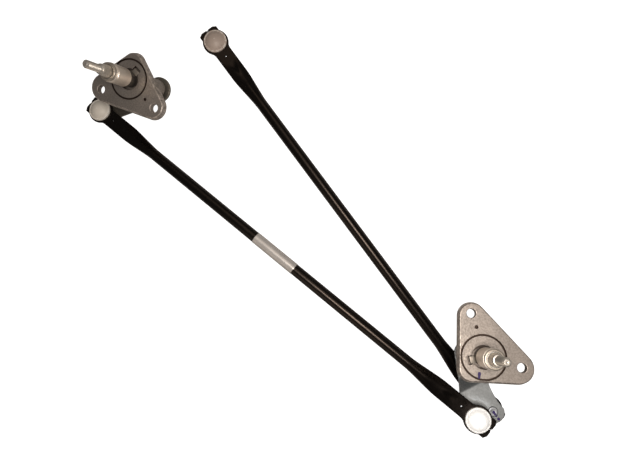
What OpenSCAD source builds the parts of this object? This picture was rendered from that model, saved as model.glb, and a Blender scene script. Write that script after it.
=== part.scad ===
// Windscreen wiper linkage: two cast pivots with wiper shafts, a connecting link between their cranks,
// and a drive link whose free socket takes the motor crank's ball. Millimetres, +Z along the left shaft.
// The origin is on the left shaft's axis, in the flange face that the vehicle body bolts to.

/* [Flange] */
// Thickness of the cast mounting flange
flange_t = 7; // [6:0.5:10]
// How much wider the flange is at its underside, for the mould's draft
flange_draft = 1.6; // [0.5:0.1:2.5]
// Place of the first bolt hole from the shaft axis
hole_a = [0, 42.6]; // [38:0.1:60]
// Place of the second bolt hole from the shaft axis
hole_b = [32, -16.4]; // [-40:0.1:40]
// Radius of the bolt holes
hole_r = 4.5; // [3:0.1:5.5]
// Middle of the rounded corner at the first bolt hole
corner_a = [0.7, 39.5]; // [-4:0.1:60]
// Radius of the corner at the first bolt hole
corner_a_r = 12.7; // [10:0.1:15]
// Middle of the rounded corner at the second bolt hole
corner_b = [28.7, -16]; // [-40:0.1:40]
// Radius of the corner at the second bolt hole
corner_b_r = 14.5; // [12:0.1:17]
// Middle of the corner without a hole
corner_c = [-14.6, -8.6]; // [-20:0.1:-4]
// Radius of the corner without a hole
corner_c_r = 11; // [9:0.1:14]
// Radius of the gasket groove, at its middle
groove_r = 21; // [18:0.1:22]
// Width of the gasket groove
groove_w = 1.4; // [0.8:0.1:2]
// Depth of the gasket groove
groove_depth = 1.6; // [0.5:0.1:3]
// Radius of the moat round the bearing tube
moat_r = 11.3; // [10.5:0.1:13]
// Depth of the moat
moat_depth = 4.5; // [2:0.1:5]
// Outer reach of the key notch that opens from the moat
notch_reach = 15.6; // [14:0.1:18]
// Width of the key notch
notch_w = 8.4; // [6:0.1:10]
// Place of the shallow locating dimple
dimple_at = [1.3, 28.8]; // [-10:0.1:34]
// Radius of the locating dimple
dimple_r = 1.65; // [1:0.05:2.5]
// Outer radius of the barrel under the flange
barrel_r = 10.8; // [10:0.1:14]
// How far the bearing tube shows below the barrel
tube_show = 2.3; // [1:0.1:6]
// Thickness of the ribs between barrel and flange
rib_t = 3.2; // [2:0.1:5]
// How far down the barrel the ribs run
rib_drop = 22; // [10:0.5:30]

/* [Bearing] */
// Outer radius of the bearing tube
tube_r = 8.3; // [7.5:0.1:9]
// Wall of each bearing bush
bush_wall = 1; // [0.8:0.1:1.5]
// Length of each bearing bush
bush_l = 20; // [10:0.5:30]
// Height of the rubber shaft seal
seal_h = 2.6; // [1.5:0.1:4]
// Thickness of the washers at both ends of the tube
washer_t = 1.4; // [0.8:0.1:2]
// Radius of the turned spigot round the tube
spigot_r = 9.8; // [9.2:0.1:11]
// Height of the spigot's lower edge above the flange
spigot_low = 9.5; // [6:0.5:14]
// Height of the spigot's upper edge above the flange
spigot_top = 34; // [28:0.5:40]
// Height of the plated cap on the spigot
cap_h = 3.2; // [2.8:0.1:5]
// How far the cap's wall stands in from the spigot
cap_step = 0.5; // [0.2:0.1:1]

/* [Shaft] */
// Radius of the shaft in its bushes
shaft_r = 5; // [4.5:0.1:5.5]
// Radius of the arm cone where it starts
cone_r = 6.6; // [6.2:0.1:6.9]
// Radius of the arm cone at its upper end
cone_top_r = 5.3; // [4.6:0.1:6]
// Length of the arm cone
cone_l = 12.4; // [8:0.1:18]
// Radius of the threaded end
thread_r = 4; // [3:0.1:4.5]
// Length of the threaded end
thread_l = 21.5; // [14:0.5:28]
// Height of the peened head under the crank
peen_h = 1.6; // [1:0.1:2.4]
// Radius of the peened head
peen_r = 7; // [6:0.1:9]

/* [Cranks] */
// Distance from the flange face down to the underside of the crank's hub
hub_drop = 64; // [56:0.5:80]
// Thickness of the crank plates
crank_t = 3.5; // [2.5:0.1:5]
// Radius of the crank hubs
hub_r = 14.8; // [12:0.1:18]
// Length of the left crank, shaft to ball
left_crank_l = 75.2; // [60:0.1:90]
// Length of the right crank, shaft to the connecting link's ball
right_crank_l = 66.3; // [60:0.1:90]
// Length of the right crank, shaft to the drive link's ball
drive_crank_l = 64.4; // [58:0.1:90]
// Angle between the right crank's two balls
stud_spread = 18.1; // [17:0.1:28]
// Radius of the crank round a ball stud
lobe_r = 10.6; // [9:0.1:13]
// How far the right crank's outer plate lies below its hub
joggle = 8; // [8:0.1:12]
// Where the right crank's bend starts, from the shaft
bend_from = 18; // [16:0.5:22]
// Where the right crank's bend ends, from the shaft
bend_to = 32; // [28:0.5:36]
// Turn of the bend lines against the crank's own line
bend_skew = 14; // [0:1:20]

/* [Ball joints] */
// Radius of the balls
ball_r = 8; // [7:0.1:9]
// Height of a ball's centre over the crank face that carries it
ball_up = 12.5; // [12:0.1:16]
// Radius of a stud's neck
neck_r = 4.4; // [3.5:0.1:4.8]
// Radius of a stud's seat on the crank
seat_r = 7; // [6:0.1:9]
// Radius of a stud's shank in the crank
shank_r = 4.2; // [3:0.1:4.3]
// Height of a stud's riveted head
rivet_h = 1.4; // [1:0.1:2]
// Radius of a stud's riveted head
rivet_r = 5.4; // [5:0.1:7]
// Radius of the socket's cap
socket_cap_r = 13.1; // [12:0.1:14]
// Radius of the socket's body in the link eye
socket_body_r = 10.2; // [10:0.1:11]
// Height of the cap's crown over the ball's centre
socket_top = 9.6; // [9.4:0.1:12]
// How far the socket's lip reaches past the ball's centre
socket_lip = 5.5; // [4.5:0.1:5.6]
// Radius of the socket's mouth
mouth_r = 7.4; // [7:0.1:7.8]

/* [Links] */
// Radius of the link tubes
rod_r = 6.5; // [5:0.1:8]
// Thickness of a flattened tube end
flat_t = 3; // [2:0.1:4]
// Width of a flattened tube end
flat_w = 19.6; // [18:0.1:22]
// Radius of the eye round a socket
eye_r = 14.9; // [14.2:0.1:17]
// Reach of the two end tabs past the ball's centre
tab_reach = 16; // [15.5:0.1:19]
// Width of the slit between the end tabs
slit_w = 3; // [2:0.1:5]
// Where the flattened part of a tube ends, from the ball
flat_to = 49; // [34:0.5:60]
// Where the tube is round again, from the ball
round_from = 90; // [70:0.5:110]
// Place of the drain hole, from the ball
drain_at = 20.7; // [18:0.1:26]
// Radius of the drain hole
drain_r = 1.7; // [1:0.1:2.5]
// Length of the drive link, ball to ball
drive_l = 516.4; // [400:0.1:600]
// Length of the foil label on the connecting link
label_l = 57; // [30:1:90]
// Thickness of the foil label
label_t = 0.2; // [0.1:0.05:0.4]

/* [Pose] */
// Turn of the left flange about its shaft
left_turn = 259; // [0:1:360]
// Angle of the left crank from its flange's hole-free side
left_crank_turn = -23; // [-90:0.1:45]
// Place of the right flange's centre
right_at = [465.4, 1.4, 8.4]; // [-100:0.1:700]
// Side that the right pivot leans to
right_lean_side = 106.8; // [60:0.1:160]
// How far the right pivot leans from upright
right_lean = 19.4; // [10:0.1:20]
// Turn of the right flange about its shaft
right_turn = -55.4; // [-180:0.1:180]
// Angle of the right crank's middle line from its flange
right_crank_turn = -89.5; // [-120:0.1:-60]
// Direction in which the drive link lies
drive_side = 164.3; // [120:0.1:168]
// Roll of the connecting link about its own line
link_roll = -12; // [-20:0.5:20]
// Roll of the drive link about its own line
drive_roll = 16; // [0:0.5:20]

/* [Hidden] */
$fn = 96;
hull_sides = 32;
// Clearance of a pressed or riveted seat
seat_gap = 0.01;
// Clearance of the shaft in its bushes
run_gap = 0.03;
// Clearance of the balls in their sockets
ball_gap = 0.08;
// Clearance between faces that turn over each other
face_gap = 0.12;
// Clearance of the key in its notch
key_gap = 0.6;
// Overlap that joins two shapes of one solid
lap = 0.5;
// Reach of a cut past the face that it opens
past = 1;
// How far a plate's straight edges lie inside its round corners, so that the two cross
tuck = 0.05;

bush_r = shaft_r + run_gap + bush_wall;
tube_bore_r = bush_r + seat_gap;
tube_low = -hub_drop + crank_t + face_gap + washer_t;
tube_top = spigot_top + cap_h - washer_t - washer_t;
barrel_low = tube_low + tube_show;
cap_r = spigot_r - cap_step;
cap_mouth_r = cone_r + 4 * face_gap;
cone_low = tube_top + washer_t + face_gap;
cone_high = cone_low + cone_l;
shaft_tip = cone_high + thread_l;
tip_bevel = 1.2;
washer_bore_r = shaft_r + 4 * face_gap;
corners = [[corner_a.x, corner_a.y, corner_a_r],
           [corner_c.x, corner_c.y, corner_c_r],
           [corner_b.x, corner_b.y, corner_b_r]];
rib_reach = 0.7;
crank_face = -hub_drop + crank_t;
outer_face = crank_face - joggle;
upper_stud = [right_crank_l, 0, stud_spread / -2 + right_crank_turn];
lower_stud = [drive_crank_l, 0, stud_spread / 2 + right_crank_turn];
// The waist that narrows the right crank on its lower stud's side
waist_r = 70;
waist_in = 13.8;
waist_out = 30;
eye_bore_r = socket_body_r + seat_gap;
// How far the sharp corners of the end tabs are nipped, by a circle round the ball's centre
tab_nip = 0.5;
tab_corner_r = norm([tab_reach, flat_w / 2]) - tab_nip;
mouth_depth = sqrt(pow(ball_r + ball_gap, 2) - pow(mouth_r, 2));
// The moulded edges of the sockets
cap_ledge = 1.9;
cap_rim_h = 2.6;
cap_bevel = 0.8;
bead = 0.7;
bead_low = 1.6;
crown_r = socket_cap_r - cap_ledge;
crown_low = flat_t / 2 + cap_rim_h;
crown_rise = socket_top - crown_low;
crown_ball_r = (crown_r * crown_r + crown_rise * crown_rise) / (2 * crown_rise);
floor_z = -hub_drop - peen_h;

function unit(a) = [cos(a), sin(a)];
function turn_z(p, a) = [p.x * cos(a) - p.y * sin(a), p.x * sin(a) + p.y * cos(a), p.z];
function turn_y(p, a) = [p.x * cos(a) + p.z * sin(a), p.y, p.z * cos(a) - p.x * sin(a)];
function left_place(p) = turn_z(p, left_turn);
function right_place(p) = right_at + turn_z(turn_y(turn_z(p, right_turn), right_lean), right_lean_side);
function polar(length, angle, z) = [length * cos(angle), length * sin(angle), z];

left_ball = left_place(polar(left_crank_l, left_crank_turn, crank_face + ball_up));
right_ball = right_place(polar(right_crank_l, upper_stud.z, outer_face + ball_up));
drive_ball = right_place(polar(drive_crank_l, lower_stud.z, outer_face - crank_t - ball_up));
link_l = norm(right_ball - left_ball);
// The drive link's free end lies on the surface that the left crank stands on
free_rest = socket_lip * cos(drive_roll) + socket_body_r * sin(drive_roll);
free_drop = drive_ball.z - floor_z - max(rod_r, free_rest);
free_run = sqrt(drive_l * drive_l - free_drop * free_drop);
free_ball = drive_ball + [for (k = unit(drive_side)) k * free_run, -free_drop];

// Placing

module at_left() {
  rotate([0, 0, left_turn]) children();
}

module at_right() {
  translate(right_at)
    rotate([0, 0, right_lean_side])
      rotate([0, right_lean, 0])
        rotate([0, 0, right_turn]) children();
}

// Puts a shape that runs along X from the first point towards the second, with Z upright but for the roll
module along(from, to, roll) {
  way = to - from;
  translate(from)
    rotate([roll, -asin(way.z / norm(way)), atan2(way.y, way.x)])
      children();
}

// Shared shapes

// Angle of the outer normal of the line that touches circles a and b, each given as [x, y, radius]
function touch_angle(a, b) =
  let (way = [b.x - a.x, b.y - a.y])
  atan2(way.y, way.x) - acos((a.z - b.z) / norm(way));

function belt_points(circles) = [
  for (i = [0 : len(circles) - 1])
    let (a = circles[i], b = circles[(i + 1) % len(circles)], out = unit(touch_angle(a, b)))
    each [[a.x, a.y] + a.z * out, [b.x, b.y] + b.z * out]
];

// A plate whose outline runs round the circles like a belt, which are listed counter-clockwise
module belt(circles, h) {
  linear_extrude(h) polygon(belt_points([for (k = circles) [k.x, k.y, k.z - tuck]]));
  for (k = circles) translate([k.x, k.y]) cylinder(r = k.z, h = h);
}

// The same plate with sides that lean out by the draft towards its underside
module cast_plate(circles, h, draft) {
  low = belt_points([for (k = circles) [k.x, k.y, k.z + draft - tuck]]);
  top = belt_points([for (k = circles) [k.x, k.y, k.z - tuck]]);
  n = len(low);
  polyhedron(
    [for (p = low) [p.x, p.y, 0], for (p = top) [p.x, p.y, h]],
    [[for (i = [0 : n - 1]) i], [for (i = [0 : n - 1]) 2 * n - 1 - i],
     for (i = [0 : n - 1]) [i, n + i, n + (i + 1) % n, (i + 1) % n]]);
  for (k = circles) translate([k.x, k.y]) cylinder(r1 = k.z + draft, r2 = k.z, h = h);
}

module ring(outer, inner, h) {
  difference() {
    cylinder(r = outer, h = h);
    translate([0, 0, -past]) cylinder(r = inner, h = h + 2 * past);
  }
}

// Pivot pieces, each in its pivot's own frame

module rib(direction, reach) {
  rotate([90, 0, direction])
    translate([0, 0, -rib_t / 2])
      linear_extrude(rib_t)
        polygon([[tube_r + lap, -flange_t + lap], [reach, -flange_t + lap], [reach, -flange_t - rib_t / 2],
                 [barrel_r, -flange_t - rib_drop], [tube_r + lap, -flange_t - rib_drop]]);
}

module flange() {
  color("#b5aca3")
  difference() {
    union() {
      translate([0, 0, -flange_t]) cast_plate(corners, flange_t, flange_draft);
      translate([0, 0, barrel_low]) cylinder(r = barrel_r, h = -barrel_low - flange_t + lap);
      for (k = corners) rib(atan2(k.y, k.x), norm([k.x, k.y]) * rib_reach + k.z / 2);
    }
    translate([0, 0, barrel_low - past]) cylinder(r = tube_r + seat_gap, h = -barrel_low + 2 * past);
    translate([0, 0, -moat_depth]) cylinder(r = moat_r, h = moat_depth + past);
    translate([-notch_reach, -notch_w / 2, -moat_depth]) cube([notch_reach, notch_w, moat_depth + past]);
    translate([0, 0, -groove_depth])
      ring(groove_r + groove_w / 2, groove_r - groove_w / 2, groove_depth + past);
    for (hole = [hole_a, hole_b])
      translate([hole.x, hole.y, -flange_t - past]) cylinder(r = hole_r, h = flange_t + 2 * past);
    translate([dimple_at.x, dimple_at.y, -groove_depth / 2]) cylinder(r = dimple_r, h = groove_depth);
  }
}

module bearing_tube() {
  key_w = notch_w - 2 * key_gap;
  key_reach = notch_reach - key_gap;
  color("#a9a29a")
  difference() {
    union() {
      translate([0, 0, tube_low]) cylinder(r = tube_r, h = tube_top - tube_low);
      translate([-key_reach, -key_w / 2, -moat_depth]) cube([key_reach, key_w, moat_depth - key_gap]);
    }
    translate([0, 0, tube_low - past]) cylinder(r = tube_bore_r, h = tube_top - tube_low + 2 * past);
  }
}

module bush() {
  color("#b08a4a") ring(bush_r, shaft_r + run_gap, bush_l);
}

module upper_bush() {
  translate([0, 0, tube_top - seal_h - bush_l]) bush();
}

module lower_bush() {
  translate([0, 0, tube_low]) bush();
}

module shaft_seal() {
  color("#2a2a2a") translate([0, 0, tube_top - seal_h]) ring(bush_r, shaft_r + run_gap, seal_h);
}

module washer() {
  color("#9a9a98") ring(tube_r - seat_gap, washer_bore_r, washer_t);
}

module upper_washer() {
  translate([0, 0, tube_top]) washer();
}

module lower_washer() {
  translate([0, 0, tube_low - washer_t]) washer();
}

module spigot() {
  color("#c9c1b6")
    translate([0, 0, spigot_low]) ring(spigot_r, tube_r + seat_gap, spigot_top - spigot_low);
}

// A drawn cap that closes the spigot's end and holds the upper washer
module spigot_cap() {
  bevel = 0.6;
  lid_low = tube_top + washer_t + face_gap / 2;
  top = spigot_top + cap_h;
  color("#d8d6d0")
  rotate_extrude()
    polygon([[tube_r + seat_gap, spigot_top], [cap_r, spigot_top], [cap_r, top - bevel],
             [cap_r - bevel, top], [cap_mouth_r, top], [cap_mouth_r, lid_low],
             [tube_r + seat_gap, lid_low]]);
}

module shaft() {
  color("#c8c8c6")
  rotate_extrude()
    polygon([[0, floor_z], [peen_r - peen_h / 2, floor_z], [peen_r, -hub_drop], [shaft_r, -hub_drop],
             [shaft_r, cone_low], [cone_r, cone_low], [cone_top_r, cone_high], [thread_r, cone_high],
             [thread_r, shaft_tip - tip_bevel], [thread_r - tip_bevel, shaft_tip], [0, shaft_tip]]);
}

// Cranks, in their pivot's frame, with the crank's own line along X

module shaft_hole(z) {
  translate([0, 0, z - past]) cylinder(r = shaft_r + seat_gap, h = crank_t + 2 * past);
}

module shank_hole(at, z) {
  translate([at.x, at.y, z - past]) cylinder(r = shank_r + seat_gap, h = crank_t + 2 * past);
}

module left_crank_arm() {
  color("#b3b5b2")
  rotate([0, 0, left_crank_turn])
    difference() {
      translate([0, 0, -hub_drop]) belt([[0, 0, hub_r], [left_crank_l, 0, lobe_r]], crank_t);
      shaft_hole(-hub_drop);
      shank_hole([left_crank_l, 0], -hub_drop);
    }
}

// The joggled right crank: a fan-shaped plate cut to the side view of a bent sheet
module right_crank_arm() {
  upper = right_crank_l * unit(-stud_spread / 2);
  lower = drive_crank_l * unit(stud_spread / 2);
  low = -hub_drop - joggle;
  reach = right_crank_l + 2 * lobe_r;
  color("#c3c6c3")
  rotate([0, 0, right_crank_turn])
    difference() {
      intersection() {
        translate([0, 0, low - past])
          belt([[0, 0, hub_r], [upper.x, upper.y, lobe_r], [lower.x, lower.y, lobe_r]],
               joggle + crank_t + 2 * past);
        rotate([90, 0, bend_skew])
          translate([0, 0, -reach])
            linear_extrude(2 * reach)
              polygon([[-reach, -hub_drop], [bend_from, -hub_drop], [bend_to, low], [reach, low],
                       [reach, low + crank_t], [bend_to, low + crank_t], [bend_from, -hub_drop + crank_t],
                       [-reach, -hub_drop + crank_t]]);
      }
      shaft_hole(-hub_drop);
      shank_hole(upper, low);
      shank_hole(lower, low);
      translate([waist_out, waist_in + waist_r, low - 2 * past])
        cylinder(r = waist_r, h = joggle + crank_t + 4 * past);
    }
}

// A ball stud that stands on the face z = 0, riveted through the plate under it
module ball_stud() {
  neck_top = ball_up - sqrt(ball_r * ball_r - neck_r * neck_r) + lap;
  seat_h = 1.8;
  color("#bdbdb8") {
    rotate_extrude()
      polygon([[0, -crank_t - rivet_h], [rivet_r - rivet_h / 2, -crank_t - rivet_h], [rivet_r, -crank_t],
               [shank_r, -crank_t], [shank_r, 0], [seat_r, 0], [seat_r, seat_h], [neck_r, seat_h + lap],
               [neck_r, neck_top], [0, neck_top]]);
    translate([0, 0, ball_up]) sphere(r = ball_r);
  }
}

module left_ball_stud() {
  translate(polar(left_crank_l, left_crank_turn, crank_face)) ball_stud();
}

module right_upper_stud() {
  translate(polar(right_crank_l, upper_stud.z, outer_face)) ball_stud();
}

module right_lower_stud() {
  translate(polar(drive_crank_l, lower_stud.z, outer_face - crank_t)) rotate([180, 0, 0]) ball_stud();
}

// Links, along X from the ball at the origin, with the flattened ends in the XY plane

// A moulded snap socket: a domed cap over the eye, a body through it and a springy lip under the ball
module socket() {
  color("#d5d1c8")
  difference() {
    union() {
      rotate_extrude()
        polygon([[0, flat_t / 2 + seat_gap], [socket_cap_r, flat_t / 2 + seat_gap],
                 [socket_cap_r, crown_low - cap_bevel], [socket_cap_r - cap_bevel, crown_low],
                 [0, crown_low]]);
      intersection() {
        translate([0, 0, socket_top - crown_ball_r]) sphere(r = crown_ball_r);
        translate([0, 0, crown_low - lap]) cylinder(r = crown_r, h = crown_rise + past);
      }
      rotate_extrude()
        polygon([[0, -socket_lip], [socket_body_r - bead, -socket_lip],
                 [socket_body_r + bead, -flat_t / 2 - bead_low],
                 [socket_body_r + bead, -flat_t / 2 - bead_low / 2],
                 [socket_body_r, -flat_t / 2 - seat_gap],
                 [socket_body_r, flat_t / 2 + lap], [0, flat_t / 2 + lap]]);
    }
    sphere(r = ball_r + ball_gap);
    translate([0, 0, -socket_lip - past]) cylinder(r = mouth_r, h = socket_lip + past - mouth_depth + lap);
  }
}

module flat_end() {
  difference() {
    union() {
      translate([0, 0, -flat_t / 2]) cylinder(r = eye_r, h = flat_t);
      intersection() {
        translate([0, 0, -flat_t / 2]) cylinder(r = tab_corner_r, h = flat_t);
        translate([-tab_reach, -flat_w / 2, -flat_t]) cube([tab_reach, flat_w, 2 * flat_t]);
      }
      translate([0, -flat_w / 2, -flat_t / 2]) cube([flat_to + lap, flat_w, flat_t]);
    }
    translate([0, 0, -flat_t]) cylinder(r = eye_bore_r, h = 2 * flat_t);
    translate([-tab_reach - past, -slit_w / 2, -flat_t])
      cube([tab_reach + past - eye_bore_r / 2, slit_w, 2 * flat_t]);
    translate([drain_at, 0, -flat_t]) cylinder(r = drain_r, h = 2 * flat_t);
  }
}

// The stretch where the flattened tube swells back to round
module swell() {
  hull() {
    for (side = [-1, 1])
      translate([flat_to, side * (flat_w - flat_t) / 2, 0])
        rotate([0, 90, 0]) cylinder(r = flat_t / 2, h = lap, $fn = hull_sides);
    translate([round_from, 0, 0]) rotate([0, 90, 0]) cylinder(r = rod_r, h = lap, $fn = hull_sides);
  }
}

module rod(length) {
  color("#1c1c1e") {
    translate([round_from, 0, 0]) rotate([0, 90, 0]) cylinder(r = rod_r, h = length - 2 * round_from);
    for (end = [0, 1])
      translate([end * length, 0, 0]) rotate([0, 0, end * 180]) {
        flat_end();
        swell();
      }
  }
}

module link_tube() {
  along(left_ball, right_ball, link_roll) rod(link_l);
}

module link_left_socket() {
  along(left_ball, right_ball, link_roll) socket();
}

module link_right_socket() {
  along(left_ball, right_ball, link_roll) translate([link_l, 0, 0]) socket();
}

module link_label() {
  color("#c4c4c4")
    along(left_ball, right_ball, link_roll)
      translate([(link_l - label_l) / 2, 0, 0])
        rotate([0, 90, 0])
          ring(rod_r + label_t, rod_r + seat_gap, label_l);
}

module drive_tube() {
  along(drive_ball, free_ball, drive_roll) rod(drive_l);
}

module drive_lower_socket() {
  along(drive_ball, free_ball, drive_roll) rotate([180, 0, 0]) socket();
}

module drive_free_socket() {
  along(drive_ball, free_ball, drive_roll) translate([drive_l, 0, 0]) socket();
}

at_left() flange();  // left_flange
at_left() bearing_tube();  // left_bearing_tube
at_left() upper_bush();  // left_upper_bush
at_left() lower_bush();  // left_lower_bush
at_left() shaft_seal();  // left_shaft_seal
at_left() upper_washer();  // left_upper_washer
at_left() lower_washer();  // left_lower_washer
at_left() spigot();  // left_spigot
at_left() spigot_cap();  // left_spigot_cap
at_left() shaft();  // left_shaft
at_left() left_crank_arm();
at_left() left_ball_stud();
at_right() flange();  // right_flange
at_right() bearing_tube();  // right_bearing_tube
at_right() upper_bush();  // right_upper_bush
at_right() lower_bush();  // right_lower_bush
at_right() shaft_seal();  // right_shaft_seal
at_right() upper_washer();  // right_upper_washer
at_right() lower_washer();  // right_lower_washer
at_right() spigot();  // right_spigot
at_right() spigot_cap();  // right_spigot_cap
at_right() shaft();  // right_shaft
at_right() right_crank_arm();
at_right() right_upper_stud();
at_right() right_lower_stud();
link_tube();
link_left_socket();
link_right_socket();
link_label();
drive_tube();
drive_lower_socket();
drive_free_socket();
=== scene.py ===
import math

import bmesh
import bpy
from mathutils import Matrix, Vector
from mathutils.geometry import tessellate_polygon


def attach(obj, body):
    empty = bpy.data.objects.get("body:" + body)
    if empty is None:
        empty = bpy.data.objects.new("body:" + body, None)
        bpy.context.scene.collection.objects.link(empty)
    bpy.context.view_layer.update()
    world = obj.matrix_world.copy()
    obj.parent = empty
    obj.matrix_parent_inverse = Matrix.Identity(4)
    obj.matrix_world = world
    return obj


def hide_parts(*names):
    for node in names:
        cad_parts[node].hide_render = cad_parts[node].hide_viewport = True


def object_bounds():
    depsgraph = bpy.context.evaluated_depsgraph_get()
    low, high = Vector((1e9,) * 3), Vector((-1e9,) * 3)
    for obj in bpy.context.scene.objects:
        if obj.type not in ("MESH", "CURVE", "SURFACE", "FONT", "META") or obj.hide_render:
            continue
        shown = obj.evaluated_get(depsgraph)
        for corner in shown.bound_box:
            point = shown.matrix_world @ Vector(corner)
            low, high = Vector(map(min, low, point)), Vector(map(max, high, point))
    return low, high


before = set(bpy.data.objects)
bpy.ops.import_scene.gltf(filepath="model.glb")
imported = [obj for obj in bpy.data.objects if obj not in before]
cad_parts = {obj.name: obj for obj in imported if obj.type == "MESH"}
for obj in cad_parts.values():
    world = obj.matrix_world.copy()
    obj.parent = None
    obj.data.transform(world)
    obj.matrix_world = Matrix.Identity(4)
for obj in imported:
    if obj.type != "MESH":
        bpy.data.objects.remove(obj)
cad_low, cad_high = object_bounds()

bl_info = {
    "name": "Wiper linkage",
    "version": (1, 0, 0),
    "blender": (4, 5, 0),
    "location": "View3D > Sidebar > Linkage",
    "description": "Dresses the wiper linkage with its castings, shafts, cranks, link tubes and sockets",
    "category": "Object",
}

MM = 0.001
SIDES = ("left", "right")

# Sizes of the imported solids, in millimetres
FLANGE_T = 7.0
FLANGE_DRAFT = 1.6
HOLE_A = (0.0, 42.6)
HOLE_B = (32.0, -16.4)
HOLE_R = 4.5
CORNERS = ((0.7, 39.5, 12.7), (-14.6, -8.6, 11.0), (28.7, -16.0, 14.5))
GROOVE_R = 21.0
GROOVE_HALF = 0.7
GROOVE_DEPTH = 1.6
MOAT_R = 11.3
MOAT_DEPTH = 4.5
NOTCH_REACH = 15.6
NOTCH_HALF = 4.2
DIMPLE = (1.3, 28.8, 1.65)
BARREL_R = 10.8
BARREL_LOW = -56.68
RIB_T = 3.2
RIB_DROP = 22.0
TUBE_R = 8.3
TUBE_BORE = 6.04
TUBE_LOW = -58.98
TUBE_TOP = 34.4
SPIGOT_R = 9.8
SPIGOT_LOW = 9.5
SPIGOT_TOP = 34.0
CAP_R = 9.3
CAP_TOP = 37.2
CAP_LID = 35.86
CAP_MOUTH = 7.08
SHAFT_R = 5.0
FOOT_LOW = -65.6
FOOT_R = 7.0
CONE_LOW = 35.92
CONE_HIGH = 48.32
CONE_R = 6.6
CONE_TOP_R = 5.3
THREAD_R = 4.0
SHAFT_TIP = 69.82
HUB_DROP = 64.0
CRANK_T = 3.5
HUB_R = 14.8
LEFT_CRANK_L = 75.2
LEFT_CRANK_TURN = -23.0
RIGHT_CRANK_L = 66.3
DRIVE_CRANK_L = 64.4
RIGHT_CRANK_TURN = -89.5
STUD_SPREAD = 18.1
LOBE_R = 10.6
JOGGLE = 8.0
BEND_FROM = 18.0
BEND_TO = 32.0
BEND_SKEW = 14.0
WAIST = (30.0, 83.8, 70.0)
BALL_R = 8.0
BALL_UP = 12.5
NECK_R = 4.4
SEAT_R = 7.0
SHANK_R = 4.2
RIVET_H = 1.4
RIVET_R = 5.4
SOCKET_CAP_R = 13.1
SOCKET_BODY_R = 10.2
SOCKET_TOP = 9.6
SOCKET_LIP = 5.5
MOUTH_R = 7.4
CROWN_R = 11.2
CROWN_LOW = 4.1
ROD_R = 6.5
FLAT_T = 3.0
FLAT_HALF = 9.8
EYE_R = 14.9
SLIT_HALF = 1.5
FLAT_TO = 49.0
ROUND_FROM = 90.0
DRAIN_AT = 20.7
DRIVE_L = 516.4
LABEL_L = 57.0
LABEL_T = 0.2

# Sizes of details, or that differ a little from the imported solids, in millimetres
KEY_REACH = 13.4
KEY_HALF = 3.6
KEY_TOP = -0.6
KEY_LAP = 0.6
RING_HEIGHTS = (31.2, 32.6)
RING_DEPTH = 0.22
THREAD_LEAD = 1.8
LOWER_LOBE_R = 12.2
PLATE_ROUND = (0.4, 0.55)
BEND_SOFT = 2.0
BEAD = 0.7
EYE_UNDER = -1.53
EYE_OVER = 1.52
EYE_BORE = 10.25
TAB_REACH = 17.2
TAB_HALF = 11.6
TAB_CORNER_R = 18.8
TAB_NOTCH = 16.4
SLIT_HAIR = 0.12
DRAIN_R = 1.0
STROKE_W = 2.8
STROKE_T = 0.05
FIT = 0.02
SLIP_FIT = 0.015
SKIN = 0.005

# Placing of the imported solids, in millimetres and degrees
LEFT_TURN = 259.0
RIGHT_AT = (465.4, 1.4, 8.4)
RIGHT_LEAN_SIDE = 106.8
RIGHT_LEAN = 19.4
RIGHT_TURN = -55.4
DRIVE_SIDE = 164.3
LINK_ROLL = -12.0
DRIVE_ROLL = 16.0

# Stage, in metres and degrees; the soft lights have a size, a place and an aim
FLOOR_HALF = 6.0
FLOOR_GAP = 0.0002
LAMPS = {
    "key": (0.2, (0.345, 0.12, 0.57), (0.28, 0.0, 0.0)),
    "fill": (0.6, (0.0, 0.55, 0.75), (0.0, 0.0, 0.0)),
    "back": (0.6, (0.25, -0.75, 0.45), (0.25, 0.0, 0.0)),
}
GLINT_AT = (0.48, 0.0, 0.4)
GLINT_ANGLE = 4.0
CAMERA_AT = (0.30632, 0.09503, 0.46346)
CAMERA_RIGHT = (0.78176, 0.58473, -0.21667)
CAMERA_UP = (-0.61471, 0.78102, -0.11017)
CAMERA_BACK = (0.1048, 0.21931, 0.97001)


def turn(axis, degrees):
    return Matrix.Rotation(math.radians(degrees), 4, axis)


def pivot_place(side):
    """Matrix from a pivot's own millimetres to the part's millimetres."""
    if side == "left":
        return turn("Z", LEFT_TURN)
    lean = turn("Z", RIGHT_LEAN_SIDE) @ turn("Y", RIGHT_LEAN) @ turn("Z", RIGHT_TURN)
    return Matrix.Translation(RIGHT_AT) @ lean


def polar(length, degrees, z):
    angle = math.radians(degrees)
    return Vector((length * math.cos(angle), length * math.sin(angle), z))


def clamp(t):
    return min(max(t, 0.0), 1.0)


def eased(t):
    """Smooth step from 0 to 1 as t goes from 0 to 1."""
    t = clamp(t)
    return t * t * (3 - 2 * t)


def rounded(start, corner, end, t):
    """Point on the curve from start to end that rounds off the corner between them."""
    return (1 - t) ** 2 * start + 2 * t * (1 - t) * corner + t * t * end


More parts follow.
